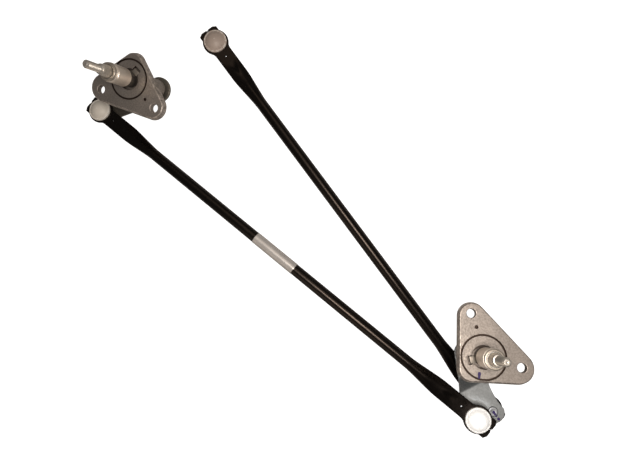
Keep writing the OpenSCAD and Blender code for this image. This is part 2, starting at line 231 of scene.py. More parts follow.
CRANK_FACE = -HUB_DROP + CRANK_T
OUTER_FACE = CRANK_FACE - JOGGLE
UPPER_STUD = polar(RIGHT_CRANK_L, RIGHT_CRANK_TURN - STUD_SPREAD / 2, OUTER_FACE)
LOWER_STUD = polar(DRIVE_CRANK_L, RIGHT_CRANK_TURN + STUD_SPREAD / 2, OUTER_FACE - CRANK_T)
LEFT_STUD = polar(LEFT_CRANK_L, LEFT_CRANK_TURN, CRANK_FACE)
UP = Vector((0, 0, BALL_UP))
LEFT_BALL = pivot_place("left") @ (LEFT_STUD + UP)
RIGHT_BALL = pivot_place("right") @ (UPPER_STUD + UP)
DRIVE_BALL = pivot_place("right") @ (LOWER_STUD - UP)
TILT = math.radians(DRIVE_ROLL)
FREE_REST = SOCKET_LIP * math.cos(TILT) + SOCKET_BODY_R * math.sin(TILT)
FREE_DROP = DRIVE_BALL.z - FOOT_LOW - max(ROD_R, FREE_REST)
FREE_BALL = DRIVE_BALL + polar(math.sqrt(DRIVE_L**2 - FREE_DROP**2), DRIVE_SIDE, -FREE_DROP)


def link_place(start, end, roll):
    """Matrix that lays a link's own X from the first ball to the second, rolled about that line."""
    way = end - start
    heading = math.degrees(math.atan2(way.y, way.x))
    rise = math.degrees(math.asin(way.z / way.length))
    return Matrix.Translation(start) @ turn("Z", heading) @ turn("Y", -rise) @ turn("X", roll)


def circle(x, y, radius, z, count=96):
    return [
        (x + radius * math.cos(2 * math.pi * k / count), y + radius * math.sin(2 * math.pi * k / count), z)
        for k in range(count)
    ]


def arc(radius, start, end, count):
    angles = [math.radians(start + (end - start) * k / count) for k in range(count + 1)]
    return [(radius * math.cos(a), radius * math.sin(a)) for a in angles]


def touch_angle(a, b):
    """Angle of the outer normal of the line that touches two circles, each (x, y, radius)."""
    way = Vector((b[0] - a[0], b[1] - a[1]))
    return math.atan2(way.y, way.x) - math.acos((a[2] - b[2]) / way.length)


def belt(circles, inset, between=0):
    """Outline that runs round the circles like a belt, counter-clockwise and drawn in by inset."""
    points = []
    for i, (x, y, radius) in enumerate(circles):
        start = touch_angle(circles[i - 1], circles[i])
        after = circles[(i + 1) % len(circles)]
        end = touch_angle(circles[i], after)
        while end < start:
            end += 2 * math.pi
        steps = max(4, round((end - start) / math.radians(5)))
        for k in range(steps + 1):
            a = start + (end - start) * k / steps
            points.append((x + (radius - inset) * math.cos(a), y + (radius - inset) * math.sin(a)))
        last = Vector(points[-1])
        ahead = Vector((after[0], after[1])) + (after[2] - inset) * Vector((math.cos(end), math.sin(end)))
        points += [tuple(last.lerp(ahead, k / (between + 1))) for k in range(1, between + 1)]
    return points


def round_edge(low, high, low_round, high_round, steps=4, guard=0.3):
    """Steps of (inset, height, wear) up a plate's edge, with both rims rounded."""
    rows = [(low_round + guard, low, 0.0)]
    for k in range(steps + 1):
        a = math.pi / 2 * k / steps
        rows.append((low_round * (1 - math.sin(a)), low + low_round * (1 - math.cos(a)), 0.6))
    rows.append((0.0, low + low_round + guard / 2, 0.0))
    rows.append((0.0, high - high_round - guard / 2, 0.0))
    for k in range(steps + 1):
        a = math.pi / 2 * k / steps
        rows.append((high_round * (1 - math.cos(a)), high - high_round * (1 - math.sin(a)), 1.0))
    rows.append((high_round + guard, high, 0.0))
    return rows


def turned(points, closed=False):
    """Profile of a turned piece with its corners rounded: points are (radius, height[, rounding])."""
    corners = [(Vector((p[0], p[1])), p[2] if len(p) > 2 else 0.0) for p in points]
    count = len(corners)
    rows = []
    for i, (here, rounding) in enumerate(corners):
        inner = closed or 0 < i < count - 1
        if rounding <= 0 or not inner:
            rows.append((here, 0.0))
            continue
        back = corners[i - 1][0] - here
        ahead = corners[(i + 1) % count][0] - here
        half = back.angle(ahead) / 2
        reach = min(rounding / math.tan(half), 0.45 * back.length, 0.45 * ahead.length)
        start = here + back.normalized() * reach
        end = here + ahead.normalized() * reach
        rows += [(rounded(start, here, end, k / 4), 1.0) for k in range(5)]
    guarded = []
    for i, (here, wear_light_shade) in enumerate(rows):
        guarded.append((here.x, here.y, wear_light_shade))
        if i == len(rows) - 1 and not closed:
            break
        ahead = rows[(i + 1) % len(rows)][0]
        gap = (ahead - here).length
        if gap > 0.9:
            for t in (0.25 / gap, 1 - 0.25 / gap):
                point = here.lerp(ahead, t)
                guarded.append((point.x, point.y, 0.0))
    return guarded


class Maker:
    """Gathers the mesh of one piece in the piece's own millimetres."""

    def __init__(self):
        self.bm = bmesh.new()
        # This vertex layer holds rubbed rims and painted light where it is positive, and painted shade in the
        # hollows where it is negative.
        self.wear_light_shade = self.bm.verts.layers.float.new("wear_light_shade")
        self.run = self.bm.verts.layers.float.new("run")

    def loop(self, points, wear_light_shade=0.0):
        made = []
        for point in points:
            vert = self.bm.verts.new(point)
            vert[self.wear_light_shade] = wear_light_shade
            made.append(vert)
        return made

    def bridge(self, a, b, closed=True):
        count = len(a)
        for i in range(count if closed else count - 1):
            j = (i + 1) % count
            self.bm.faces.new((a[i], a[j], b[j], b[i]))

    def chain(self, loops):
        for a, b in zip(loops, loops[1:]):
            self.bridge(a, b)

    def fill(self, *loops):
        verts = [v for loop in loops for v in loop]
        for triangle in tessellate_polygon([[v.co for v in loop] for loop in loops]):
            self.bm.faces.new([verts[k] for k in triangle])

    def lathe(self, profile, steps=72, closed=False):
        """Turns rows of (radius, height, wear with painted light and shade) round Z, and returns the first
        and last loop.
        """
        loops = []
        for radius, height, wear_light_shade in profile:
            if radius < 1e-6:
                loops.append(self.loop([(0, 0, height)], wear_light_shade))
            else:
                loops.append(self.loop(circle(0, 0, radius, height, steps), wear_light_shade))
        pairs = list(zip(loops, loops[1:]))
        if closed:
            pairs.append((loops[-1], loops[0]))
        for a, b in pairs:
            if len(a) == 1 or len(b) == 1:
                tip, rim = (a[0], b) if len(a) == 1 else (b[0], a)
                for i in range(len(rim)):
                    self.bm.faces.new((tip, rim[i], rim[(i + 1) % len(rim)]))
            else:
                self.bridge(a, b)
        return loops[0], loops[-1]

    def block(self, corners, bevel=0.5):
        """Adds a flat-sided block, given its low and high outlines, with its edges bevelled."""
        low, high = (self.loop(rim) for rim in corners)
        faces = [self.bm.faces.new(low), self.bm.faces.new(high)]
        for i in range(len(low)):
            j = (i + 1) % len(low)
            faces.append(self.bm.faces.new((low[i], low[j], high[j], high[i])))
        edges = list(dict.fromkeys(e for f in faces for e in f.edges))
        bmesh.ops.bevel(self.bm, geom=edges, offset=bevel, segments=3, profile=0.5, affect="EDGES",
                        clamp_overlap=True)

    def finish(self, name, place, material, body, nodes=(), slot=None, along=2, sharp=35):
        """Makes the piece's object at its place, on its body and with its finish."""
        bmesh.ops.recalc_face_normals(self.bm, faces=self.bm.faces[:])
        for vert in self.bm.verts:
            vert[self.run] = vert.co[along]
        mesh = bpy.data.meshes.new(name)
        self.bm.to_mesh(mesh)
        self.bm.free()
        return dress(mesh, name, place, material, body, nodes, sharp)


def made(shape, *sizes):
    """A maker that holds one shape."""
    maker = Maker()
    shape(maker, *sizes)
    return maker


def dress(mesh, name, place, material, body, nodes, sharp):
    mesh.transform(Matrix.Scale(MM, 4) @ place)
    mesh.shade_smooth()
    mesh.set_sharp_from_angle(angle=math.radians(sharp))
    mesh.materials.clear()
    mesh.materials.append(material)
    piece = bpy.data.objects.new(name, mesh)
    bpy.context.scene.collection.objects.link(piece)
    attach(piece, body)
    if nodes:
        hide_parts(*nodes)
    return piece


def plate(maker, outline, holes):
    """A crank's flat plate with rounded rims; outline(inset) gives its edge and holes are (x, y, radius)."""
    low, high = -HUB_DROP, CRANK_FACE
    loops = [
        maker.loop([(x, y, z) for x, y in outline(inset)], wear_light_shade)
        for inset, z, wear_light_shade in round_edge(low, high, *PLATE_ROUND)
    ]
    maker.chain(loops)
    bores = []
    for x, y, radius in holes:
        rims = [
            maker.loop(circle(x, y, radius + inset, z, 48), wear_light_shade)
            for inset, z, wear_light_shade in round_edge(low, high, 0.3, 0.3, 2)
        ]
        maker.chain(rims)
        bores.append(rims)
    maker.fill(loops[0], *[rims[0] for rims in bores])
    maker.fill(loops[-1], *[rims[-1] for rims in bores])


# Finishes


def feed(tree, value, socket):
    """Links a socket into another one, or sets a plain value on it."""
    if isinstance(value, bpy.types.NodeSocket):
        tree.links.new(value, socket)
    else:
        socket.default_value = value


def new_group(name, kind, inputs, outputs):
    """Node group with its sockets, given as (name, type, default), and with its input and output nodes."""
    tree = bpy.data.node_groups.new(name, kind)
    for title, sort, default in inputs:
        socket = tree.interface.new_socket(title, in_out="INPUT", socket_type="NodeSocket" + sort)
        if default is not None:
            socket.default_value = default
    for title, sort in outputs:
        tree.interface.new_socket(title, in_out="OUTPUT", socket_type="NodeSocket" + sort)
    return tree, tree.nodes.new("NodeGroupInput"), tree.nodes.new("NodeGroupOutput")


def math_node(tree, operation, *values, limit=False):
    node = tree.nodes.new("ShaderNodeMath")
    node.operation = operation
    node.use_clamp = limit
    for value, socket in zip(values, node.inputs):
        feed(tree, value, socket)
    return node.outputs["Value"]


def map_range(tree, value, low, high, to_low=0.0, to_high=1.0):
    node = tree.nodes.new("ShaderNodeMapRange")
    settings = {"Value": value, "From Min": low, "From Max": high, "To Min": to_low, "To Max": to_high}
    for name, setting in settings.items():
        feed(tree, setting, node.inputs[name])
    return node.outputs["Result"]


def noise_node(tree, where, scale, detail):
    node = tree.nodes.new("ShaderNodeTexNoise")
    node.inputs["Detail"].default_value = detail
    tree.links.new(where, node.inputs["Vector"])
    tree.links.new(scale, node.inputs["Scale"])
    return node.outputs["Fac"]


def attribute_node(tree, name):
    node = tree.nodes.new("ShaderNodeAttribute")
    node.attribute_name = name
    return node.outputs["Fac"]


def surface_grain():
    """Node group with fine grain, broad patches and fine specks over a surface."""
    tree = bpy.data.node_groups.get("Surface grain")
    if tree:
        return tree
    tree, given, out = new_group(
        "Surface grain", "ShaderNodeTree", (("Grain Scale", "Float", 1500), ("Patch Scale", "Float", 60)),
        (("Grain", "Float"), ("Patch", "Float"), ("Specks", "Float")))
    link = tree.links.new
    where = tree.nodes.new("ShaderNodeTexCoord").outputs["Object"]
    for name, detail in (("Grain", 3), ("Patch", 4)):
        link(noise_node(tree, where, given.outputs[name + " Scale"], detail), out.inputs[name])
    cells = tree.nodes.new("ShaderNodeTexVoronoi")
    link(where, cells.inputs["Vector"])
    link(given.outputs["Grain Scale"], cells.inputs["Scale"])
    link(map_range(tree, cells.outputs["Distance"], 0.05, 0.22, 1.0, 0.0), out.inputs["Specks"])
    return tree


def worn_rim_light_and_shade():
    """Node group with a mask along rubbed rims that also carries painted light, and a mask of painted shade
    in the hollows.
    """
    tree = bpy.data.node_groups.get("Worn rim, light and shade")
    if tree:
        return tree
    tree, given, out = new_group(
        "Worn rim, light and shade", "ShaderNodeTree", (("Break Scale", "Float", 300),),
        (("Mask", "Float"), ("Hollow Shade", "Float")))
    link = tree.links.new
    where = tree.nodes.new("ShaderNodeTexCoord").outputs["Object"]
    wear_light_shade = attribute_node(tree, "wear_light_shade")
    # Negative values give the mask of painted shade in the hollows.
    link(math_node(tree, "MULTIPLY", wear_light_shade, -1.0, limit=True), out.inputs["Hollow Shade"])
    # Positive values give the rim mask: rubbed rims, and painted light where a maker gives a whole face full
    # value.
    broken = map_range(tree, noise_node(tree, where, given.outputs["Break Scale"], 4), 0.4, 0.62)
    link(math_node(tree, "MULTIPLY", wear_light_shade, broken, limit=True), out.inputs["Mask"])
    return tree


def tool_lines():
    """Node group with the fine lines that a lathe tool leaves across a turned piece's length."""
    tree = bpy.data.node_groups.get("Tool lines")
    if tree:
        return tree
    tree, given, out = new_group(
        "Tool lines", "ShaderNodeTree", (("Lines Per Millimetre", "Float", 3),), (("Lines", "Float"),))
    link = tree.links.new
    noise = tree.nodes.new("ShaderNodeTexNoise")
    noise.noise_dimensions = "1D"
    noise.inputs["Detail"].default_value = 3
    link(attribute_node(tree, "run"), noise.inputs["W"])
    link(given.outputs["Lines Per Millimetre"], noise.inputs["Scale"])
    link(noise.outputs["Fac"], out.inputs["Lines"])
    return tree


def group_node(tree, group, **values):
    node = tree.nodes.new("ShaderNodeGroup")
    node.node_tree = group
    for name, value in values.items():
        node.inputs[name.replace("_", " ")].default_value = value
    return node


def blend_colour(tree, mask, under, over, amount=1.0):
    """Mix node from one colour socket or value to another by a mask socket."""
    mix = tree.nodes.new("ShaderNodeMix")
    mix.data_type = "RGBA"
    feed(tree, math_node(tree, "MULTIPLY", mask, amount, limit=True), mix.inputs["Factor"])
    for colour, socket in ((under, mix.inputs["A"]), (over, mix.inputs["B"])):
        feed(tree, (*colour, 1.0) if isinstance(colour, tuple) else colour, socket)
    return mix.outputs["Result"]


def shade(colour, factor):
    return tuple(channel * factor for channel in colour)


def finish_material(name, colour, metallic, roughness, grain=1500, patch=60, patch_tint=0.85, specks=0.0,
                    bump=0.1, lines=0.0, lines_bump=0.0, rim=None, hollow_shade=None, stain=None, gleam=0.5,
                    gleam_tint=(1.0, 1.0, 1.0), mottle=0.0):
    """A finish with patchy colour, specks, tool lines, rubbed rims with painted light, painted shade in
    hollows, and grain in gloss and relief.
    """
    title = name + "_finish"
    material = bpy.data.materials.get(title)
    if material:
        return material
    material = bpy.data.materials.new(title)
    material.use_nodes = True
    tree = material.node_tree
    link = tree.links.new
    bsdf = tree.nodes["Principled BSDF"]
    bsdf.inputs["Metallic"].default_value = metallic
    bsdf.inputs["Specular IOR Level"].default_value = gleam
    bsdf.inputs["Specular Tint"].default_value = (*gleam_tint, 1.0)
    surface = group_node(tree, surface_grain(), Grain_Scale=grain, Patch_Scale=patch)
    patches = map_range(tree, surface.outputs["Patch"], 0.35, 0.68)
    tint = blend_colour(tree, patches, shade(colour, patch_tint), colour)
    if stain:
        tint = blend_colour(tree, surface.outputs["Patch"], tint, stain[:3], stain[3])
    height = surface.outputs["Grain"]
    if mottle:
        tint = blend_colour(tree, map_range(tree, height, 0.38, 0.62), tint, shade(colour, 0.3), mottle)
    if specks:
        tint = blend_colour(tree, surface.outputs["Specks"], tint, shade(colour, 0.45), specks)
    if lines or lines_bump:
        across = group_node(tree, tool_lines()).outputs["Lines"]
        tint = blend_colour(tree, across, tint, shade(colour, 0.5), lines)
        height = math_node(tree, "MULTIPLY_ADD", across, lines_bump, height)
    if rim or hollow_shade:
        masks = group_node(tree, worn_rim_light_and_shade())
    # The rim colour goes on rubbed rims, and paints light where a maker gives a whole face full value.
    if rim:
        tint = blend_colour(tree, masks.outputs["Mask"], tint, rim[:3], rim[3])
    # This colour is painted shade in the hollows.
    if hollow_shade:
        tint = blend_colour(tree, masks.outputs["Hollow Shade"], tint, hollow_shade[:3], hollow_shade[3])
    link(tint, bsdf.inputs["Base Color"])
    link(map_range(tree, surface.outputs["Grain"], 0.3, 0.7, *roughness), bsdf.inputs["Roughness"])
    relief = tree.nodes.new("ShaderNodeBump")
    relief.inputs["Strength"].default_value = bump
    relief.inputs["Distance"].default_value = 0.0003
    link(height, relief.inputs["Height"])
    link(relief.outputs["Normal"], bsdf.inputs["Normal"])
    return material


def cast_aluminium():
    colour = tuple(bpy.context.scene.linkage_finish.casting)
    # The rim colour is brighter casting for rubbed rims and painted light on the side walls; the hollow
    # colour is painted shade in the groove, dimple and moat.
    return finish_material("cast_aluminium", colour, 0.85, (0.42, 0.6), grain=620, patch=45, patch_tint=0.86,
                           specks=0.4, bump=0.2, rim=(*shade(colour, 1.6), 0.8),
                           hollow_shade=(0.06, 0.04, 0.03, 1.0), mottle=0.3)


def bearing_steel():
    return finish_material("bearing_steel", (0.2, 0.18, 0.16), 0.8, (0.35, 0.6), patch=120, patch_tint=0.5,
                           bump=0.1, lines=0.3)


def key_steel():
    return finish_material("key_steel", (0.35, 0.31, 0.265), 0.7, (0.42, 0.56), patch=150, bump=0.15)


def bronze():
    return finish_material("bronze", (0.5, 0.3, 0.12), 0.9, (0.35, 0.55), patch=150, specks=0.4, bump=0.15)


def seal_rubber():
    return finish_material("seal_rubber", (0.02, 0.02, 0.02), 0.0, (0.6, 0.8), patch=150, bump=0.1)


def washer_steel():
    return finish_material("washer_steel", (0.5, 0.49, 0.47), 0.9, (0.3, 0.5), patch=150, bump=0.1)


def turned_spigot():
    colour = tuple(bpy.context.scene.linkage_finish.spigot)
    return finish_material("turned_spigot", colour, 0.64, (0.28, 0.42), patch=90, patch_tint=0.8, bump=0.1,
                           lines=0.35, lines_bump=0.8, rim=(0.85, 0.82, 0.78, 0.6))


def plated_cap():
    return finish_material("plated_cap", (0.6, 0.53, 0.45), 0.75, (0.32, 0.44), patch=110, patch_tint=0.8,
                           bump=0.05, lines=0.35, lines_bump=0.4)


def bright_shaft():
    colour = tuple(bpy.context.scene.linkage_finish.shaft)
    return finish_material("bright_shaft", colour, 0.75, (0.28, 0.4), patch=160, patch_tint=0.8, bump=0.06,
                           lines=0.4, lines_bump=0.4, rim=(0.9, 0.9, 0.88, 0.5))


def zinc_plate():
    colour = tuple(bpy.context.scene.linkage_finish.zinc)
    return finish_material("zinc_plate", colour, 0.88, (0.34, 0.5), grain=420, patch=60, patch_tint=0.75,
                           specks=0.35, bump=0.1, rim=(*shade(colour, 1.2), 0.6), mottle=0.3)


# Shaded copy of the zinc for the left crank: painted shade.
def shaded_zinc():
    return finish_material("shaded_zinc", (0.3, 0.272, 0.235), 0.85, (0.42, 0.58), grain=420, patch=60,
                           patch_tint=0.7, specks=0.35, bump=0.1, rim=(0.42, 0.36, 0.29, 0.6), mottle=0.3)


def stud_steel():
    return finish_material("stud_steel", (0.5, 0.51, 0.53), 0.8, (0.38, 0.52), patch=140, patch_tint=0.8,
                           bump=0.08, lines=0.25, rim=(0.45, 0.46, 0.48, 0.5))


def black_paint():
    colour = tuple(bpy.context.scene.linkage_finish.tube_paint)
    return finish_material("black_paint", colour, 0.0, (0.26, 0.33), grain=300, patch=30, patch_tint=0.75,
                           bump=0.02, rim=(0.005, 0.0045, 0.004, 0.4), gleam=0.42,
                           gleam_tint=(1.0, 0.8, 0.68))


def nylon():
    # The rim colour brightens rubbed rims and paints a highlight on the gate nub.
    colour = tuple(bpy.context.scene.linkage_finish.nylon)
    return finish_material("nylon", colour, 0.0, (0.38, 0.55), grain=700, patch=55, patch_tint=0.9, bump=0.06,
                           stain=(0.62, 0.56, 0.47, 0.5), rim=(0.95, 0.93, 0.9, 0.6))


# Shaded copy of the nylon for the free socket: painted shade, with a stain; its rim colour also paints a
# highlight on the gate nub.
def shaded_nylon():
    return finish_material("shaded_nylon", (0.5, 0.41, 0.36), 0.0, (0.38, 0.55), grain=700, patch=55,
                           patch_tint=0.85, bump=0.06, stain=(0.42, 0.32, 0.24, 0.4),
                           rim=(0.9, 0.86, 0.8, 0.6))


# Lit copy of the nylon for the right and lower sockets: painted light.
def lit_nylon():
    return finish_material("lit_nylon", (0.95, 0.94, 0.92), 0.0, (0.38, 0.55), grain=700, patch=55,
                           patch_tint=0.96, bump=0.06)


def foil():
    return finish_material("foil", (0.65, 0.61, 0.58), 0.4, (0.3, 0.45), grain=600, patch=80, patch_tint=0.88,
                           bump=0.08)


def marking_paint():
    return finish_material("marking_paint", (0.04, 0.016, 0.16), 0.0, (0.4, 0.6), grain=900, patch=400,
                           patch_tint=0.6, bump=0.2)


# Shapes of the pieces


def keyhole(grow, z):
    """Outline of the moat with its key notch, counter-clockwise."""
    radius, half, reach = MOAT_R + grow, NOTCH_HALF + grow, NOTCH_REACH + grow
    meet = 180 - math.degrees(math.asin(half / radius))
    points = arc(radius, -meet, meet, 64)
    soft = 0.8
    for corner, ahead in (((-reach, half), (0, -1)), ((-reach, -half), (1, 0))):
        back = (1, 0) if ahead[0] == 0 else (0, 1)
        for t in (0.0, 0.5, 1.0):
            pull = (1 - t) ** 2
            push = t * t
            points.append((
                corner[0] + soft * (pull * back[0] + push * ahead[0]),
                corner[1] + soft * (pull * back[1] + push * ahead[1]),
            ))
    return [(x, y, z) for x, y in points]


def make_flange(maker, edge):
    # Rows on the side wall take full value, so the rim colour paints light over the whole wall as well as on
    # the rubbed rims.
    outline = [
        maker.loop([(x, y, z) for x, y in belt(CORNERS, inset + FLANGE_DRAFT * z / FLANGE_T)],
                   wear_light_shade if inset else 1.0)
        for inset, z, wear_light_shade in round_edge(-FLANGE_T, 0, 0.8, edge, 5)
    ]
    maker.chain(outline)
    under, top = [outline[0]], [outline[-1]]
    for x, y in (HOLE_A, HOLE_B):
        rims = [
            maker.loop(circle(x, y, HOLE_R + inset, z, 48), wear_light_shade)
            for inset, z, wear_light_shade in round_edge(-FLANGE_T, 0, 0.5, 0.6, 3)
        ]
        maker.chain(rims)
        under.append(rims[0])
        top.append(rims[-1])
    x, y, radius = DIMPLE
    # The negative values paint shade into the dimple.
    dish = [
        maker.loop(circle(x, y, radius + grow, z, 32), wear_light_shade)
        for grow, z, wear_light_shade in ((0.5, 0, 0), (0.25, 0, 0), (0.05, -0.1, -0.9), (0, -0.3, -1), (-0.15, -1.8, -1))
    ]
    maker.chain(dish)
    maker.fill(dish[-1])
    top.append(dish[0])
    # The negative values paint shade into the groove and onto its lips.
    outer, inner = GROOVE_R + GROOVE_HALF, GROOVE_R - GROOVE_HALF
    groove = [
        maker.loop(circle(0, 0, r, z), wear_light_shade)
        for r, z, wear_light_shade in (
            (outer + 0.4, 0, 0), (outer + 0.22, 0, -0.5), (outer + 0.08, -0.13, -0.9), (outer, -0.45, -1),
            (outer - 0.1, -GROOVE_DEPTH, -1), (inner + 0.1, -GROOVE_DEPTH, -1),
            (inner, -0.45, -1), (inner - 0.1, -0.13, -0.9), (inner - 0.25, 0, -0.5), (inner - 0.5, 0, 0),
        )
    ]
    maker.chain(groove)
    maker.fill(*top, groove[0])
    # The negative values paint shade down the moat.
    well = [
        maker.loop(keyhole(grow, z), wear_light_shade)
        for grow, z, wear_light_shade in (
            (0.4, 0, 0), (0.2, 0, 0), (0.05, -0.1, -0.7), (0, -0.35, -0.9), (0, -MOAT_DEPTH, -0.8),
        )
    ]
    maker.chain(well)
    maker.fill(groove[-1], well[0])
    bore = TUBE_R + FIT
    barrel = turned([
        (bore, -MOAT_DEPTH), (bore, BARREL_LOW, 0.4), (BARREL_R, BARREL_LOW, 0.7), (BARREL_R, -FLANGE_T, 3.0),
        (BARREL_R + 3.4, -FLANGE_T),
    ])
    floor_rim, collar = maker.lathe(barrel, 96)
    maker.fill(well[-1], floor_rim)
    maker.fill(*under, collar)
    for x, y, radius in CORNERS:
        make_rib(maker, math.atan2(y, x), math.hypot(x, y) * 0.7 + radius / 2)


def make_rib(maker, direction, reach):
    side = ((TUBE_R + 1.0, -FLANGE_T + 0.5), (reach, -FLANGE_T + 0.5), (reach, -FLANGE_T - RIB_T / 2),
            (BARREL_R, -FLANGE_T - RIB_DROP), (TUBE_R + 1.0, -FLANGE_T - RIB_DROP))
    out = Vector((math.cos(direction), math.sin(direction), 0))
    across = Vector((-out.y, out.x, 0)) * RIB_T / 2
    faces = [[out * r + Vector((0, 0, z)) + across * sign for r, z in side] for sign in (-1, 1)]
    maker.block(faces)


def make_tube(maker):
    r, bore = TUBE_R - SKIN, TUBE_BORE + SKIN
    maker.lathe(turned([
        (bore, TUBE_LOW, 0.2), (r, TUBE_LOW, 0.4), (r, TUBE_TOP, 0.4), (bore, TUBE_TOP, 0.2),
    ], True), 72, True)


def make_key(maker):
    root = -TUBE_R + KEY_LAP
    outline = [(-KEY_REACH, -KEY_HALF), (root, -KEY_HALF), (root, KEY_HALF), (-KEY_REACH, KEY_HALF)]
    maker.block([[(x, y, z) for x, y in outline] for z in (-MOAT_DEPTH + FIT, KEY_TOP)])


def make_spigot(maker):
    r, bore = SPIGOT_R, TUBE_R + SLIP_FIT
    wall = [(r, SPIGOT_LOW, 0.7)]
    for z in RING_HEIGHTS:
        wall += [(r, z - 0.25), (r - RING_DEPTH, z - 0.1), (r - RING_DEPTH, z + 0.1), (r, z + 0.25)]
    wall += [(r, SPIGOT_TOP, 0.5), (bore, SPIGOT_TOP), (bore, SPIGOT_LOW)]
    maker.lathe(turned(wall, True), 96, True)


def make_cap(maker):
    bore = TUBE_R + SLIP_FIT
    maker.lathe(turned([
        (bore, SPIGOT_TOP), (CAP_R, SPIGOT_TOP, 0.3), (CAP_R, CAP_TOP, 1.0), (CAP_MOUTH, CAP_TOP, 0.4),
        (CAP_MOUTH, CAP_LID, 0.2), (bore, CAP_LID),
    ], True), 96, True)


def make_shaft(maker, thread_depth, serration_depth):
    core = THREAD_R - thread_depth
    maker.lathe(turned([
        (0, FOOT_LOW + 0.5), (1.6, FOOT_LOW + 0.5, 0.4), (2.4, FOOT_LOW, 0.5), (FOOT_R - 0.8, FOOT_LOW, 0.8),
        (FOOT_R, -HUB_DROP, 0.3), (SHAFT_R, -HUB_DROP), (SHAFT_R, CONE_LOW),
        (CONE_R - serration_depth, CONE_LOW, 0.3), (CONE_TOP_R - serration_depth, CONE_HIGH, 0.3),
        (THREAD_R - 0.1, CONE_HIGH + 0.05, 0.1), (THREAD_R - 0.1, CONE_HIGH + 1.2, 0.2),
        (core, CONE_HIGH + THREAD_LEAD, 0.2), (core, SHAFT_TIP - 1.3, 0.2), (core - 0.9, SHAFT_TIP, 0.3),
        (1.1, SHAFT_TIP, 0.2), (0, SHAFT_TIP - 0.2),
    ]), 72)


def make_left_crank(maker):
    circles = ((0, 0, HUB_R), (LEFT_CRANK_L, 0, LOBE_R))
    holes = ((0, 0, SHAFT_R + FIT), (LEFT_CRANK_L, 0, SHANK_R + FIT))
    plate(maker, lambda inset: belt(circles, inset), holes)


def make_right_crank(maker):
    upper = polar(RIGHT_CRANK_L, -STUD_SPREAD / 2, 0)
    lower = polar(DRIVE_CRANK_L, STUD_SPREAD / 2, 0)
    circles = ((0, 0, HUB_R), (upper.x, upper.y, LOBE_R), (lower.x, lower.y, LOWER_LOBE_R))
    centre = Vector(WAIST[:2])

    def outline(inset):
        points = []
        for point in belt(circles, inset, 20):
            away = Vector(point) - centre
            if away.length < WAIST[2] + inset:
                away = away.normalized() * (WAIST[2] + inset)
            points.append(tuple(centre + away))
        return points

    holes = ((0, 0, SHAFT_R + FIT), (upper.x, upper.y, SHANK_R + FIT), (lower.x, lower.y, SHANK_R + FIT))
    plate(maker, outline, holes)
    along = polar(1, BEND_SKEW, 0)
    cuts = [bend + BEND_SOFT * k / 3 for bend in (BEND_FROM, BEND_TO) for k in range(-3, 4)]
    for cut in cuts:
        geometry = maker.bm.verts[:] + maker.bm.edges[:] + maker.bm.faces[:]
        bmesh.ops.bisect_plane(maker.bm, geom=geometry, plane_co=along * cut, plane_no=along)
    slope = JOGGLE / (BEND_TO - BEND_FROM)
    for vert in maker.bm.verts:
        s = vert.co.dot(along)
        drop = 0.0
        for bend, sign in ((BEND_FROM, 1), (BEND_TO, -1)):
            t = clamp((s - bend + BEND_SOFT) / (2 * BEND_SOFT))
            past = BEND_SOFT * t * t if t < 1 else s - bend
            drop += sign * slope * past
        vert.co.z -= drop


def make_stud(maker):
    neck_top = BALL_UP - math.sqrt(BALL_R**2 - NECK_R**2)
    rows = [
        (0, -CRANK_T - RIVET_H + 0.2), (1.4, -CRANK_T - RIVET_H + 0.2, 0.6), (2.8, -CRANK_T - RIVET_H, 0.8),
        (RIVET_R - 0.9, -CRANK_T - RIVET_H, 0.6), (RIVET_R, -CRANK_T, 0.2), (SHANK_R, -CRANK_T), (SHANK_R, 0),
        (SEAT_R, 0, 0.3), (SEAT_R, 1.8, 0.4), (NECK_R, 2.3, 0.6),
    ]
    profile = turned(rows + [(NECK_R, neck_top)])
    first = math.degrees(math.asin((neck_top - BALL_UP) / BALL_R))
    for k in range(1, 25):
        a = math.radians(first + (90 - first) * k / 24)
        profile.append((BALL_R * math.cos(a) if k < 24 else 0, BALL_UP + BALL_R * math.sin(a), 0.0))
    maker.lathe(profile, 64)


def make_socket(maker):
    """Snap socket with its cavity, springy lip, stepped rim and domed crown, about the ball's centre."""
    cavity = BALL_R + 0.1
    mouth = -math.degrees(math.acos(MOUTH_R / cavity))
    profile = []
    for k in range(25):
        a = math.radians(90 + (mouth - 90) * k / 24)
        profile.append((cavity * math.cos(a) if k else 0, cavity * math.sin(a), 0.0))
    rise = SOCKET_TOP - CROWN_LOW
    crown_ball = (CROWN_R**2 + rise**2) / (2 * rise)
    profile += turned([
        (MOUTH_R, profile[-1][1] - 0.3), (MOUTH_R + 0.3, -SOCKET_LIP, 0.2),
        (SOCKET_BODY_R - BEAD, -SOCKET_LIP, 0.4), (SOCKET_BODY_R + BEAD, -3.1, 0.4),
        (SOCKET_BODY_R + BEAD, -2.3, 0.3), (SOCKET_BODY_R, EYE_UNDER), (SOCKET_BODY_R, EYE_OVER),
        (SOCKET_CAP_R, EYE_OVER, 0.3), (SOCKET_CAP_R, CROWN_LOW, 0.9),
        (CROWN_R + 0.2, CROWN_LOW, 0.3), (CROWN_R - 0.1, CROWN_LOW + 0.25),
    ])
    first = math.asin(CROWN_R / crown_ball)
    for k in range(1, 15):
        a = first * (1 - k / 15)
        profile.append((crown_ball * math.sin(a), SOCKET_TOP - crown_ball + crown_ball * math.cos(a), 0.0))
    # The gate nub takes full value, so the rim colour paints a highlight on it.
    profile += [(0.75, SOCKET_TOP, 0.8), (0.6, SOCKET_TOP + 0.1, 1.0), (0.0, SOCKET_TOP + 0.12, 1.0)]
    maker.lathe(profile, 72)


EDGE_STEPS = 10
EDGE_ANGLES = [math.radians((k + 0.5) * 180 / EDGE_STEPS - 90) for k in range(EDGE_STEPS)]
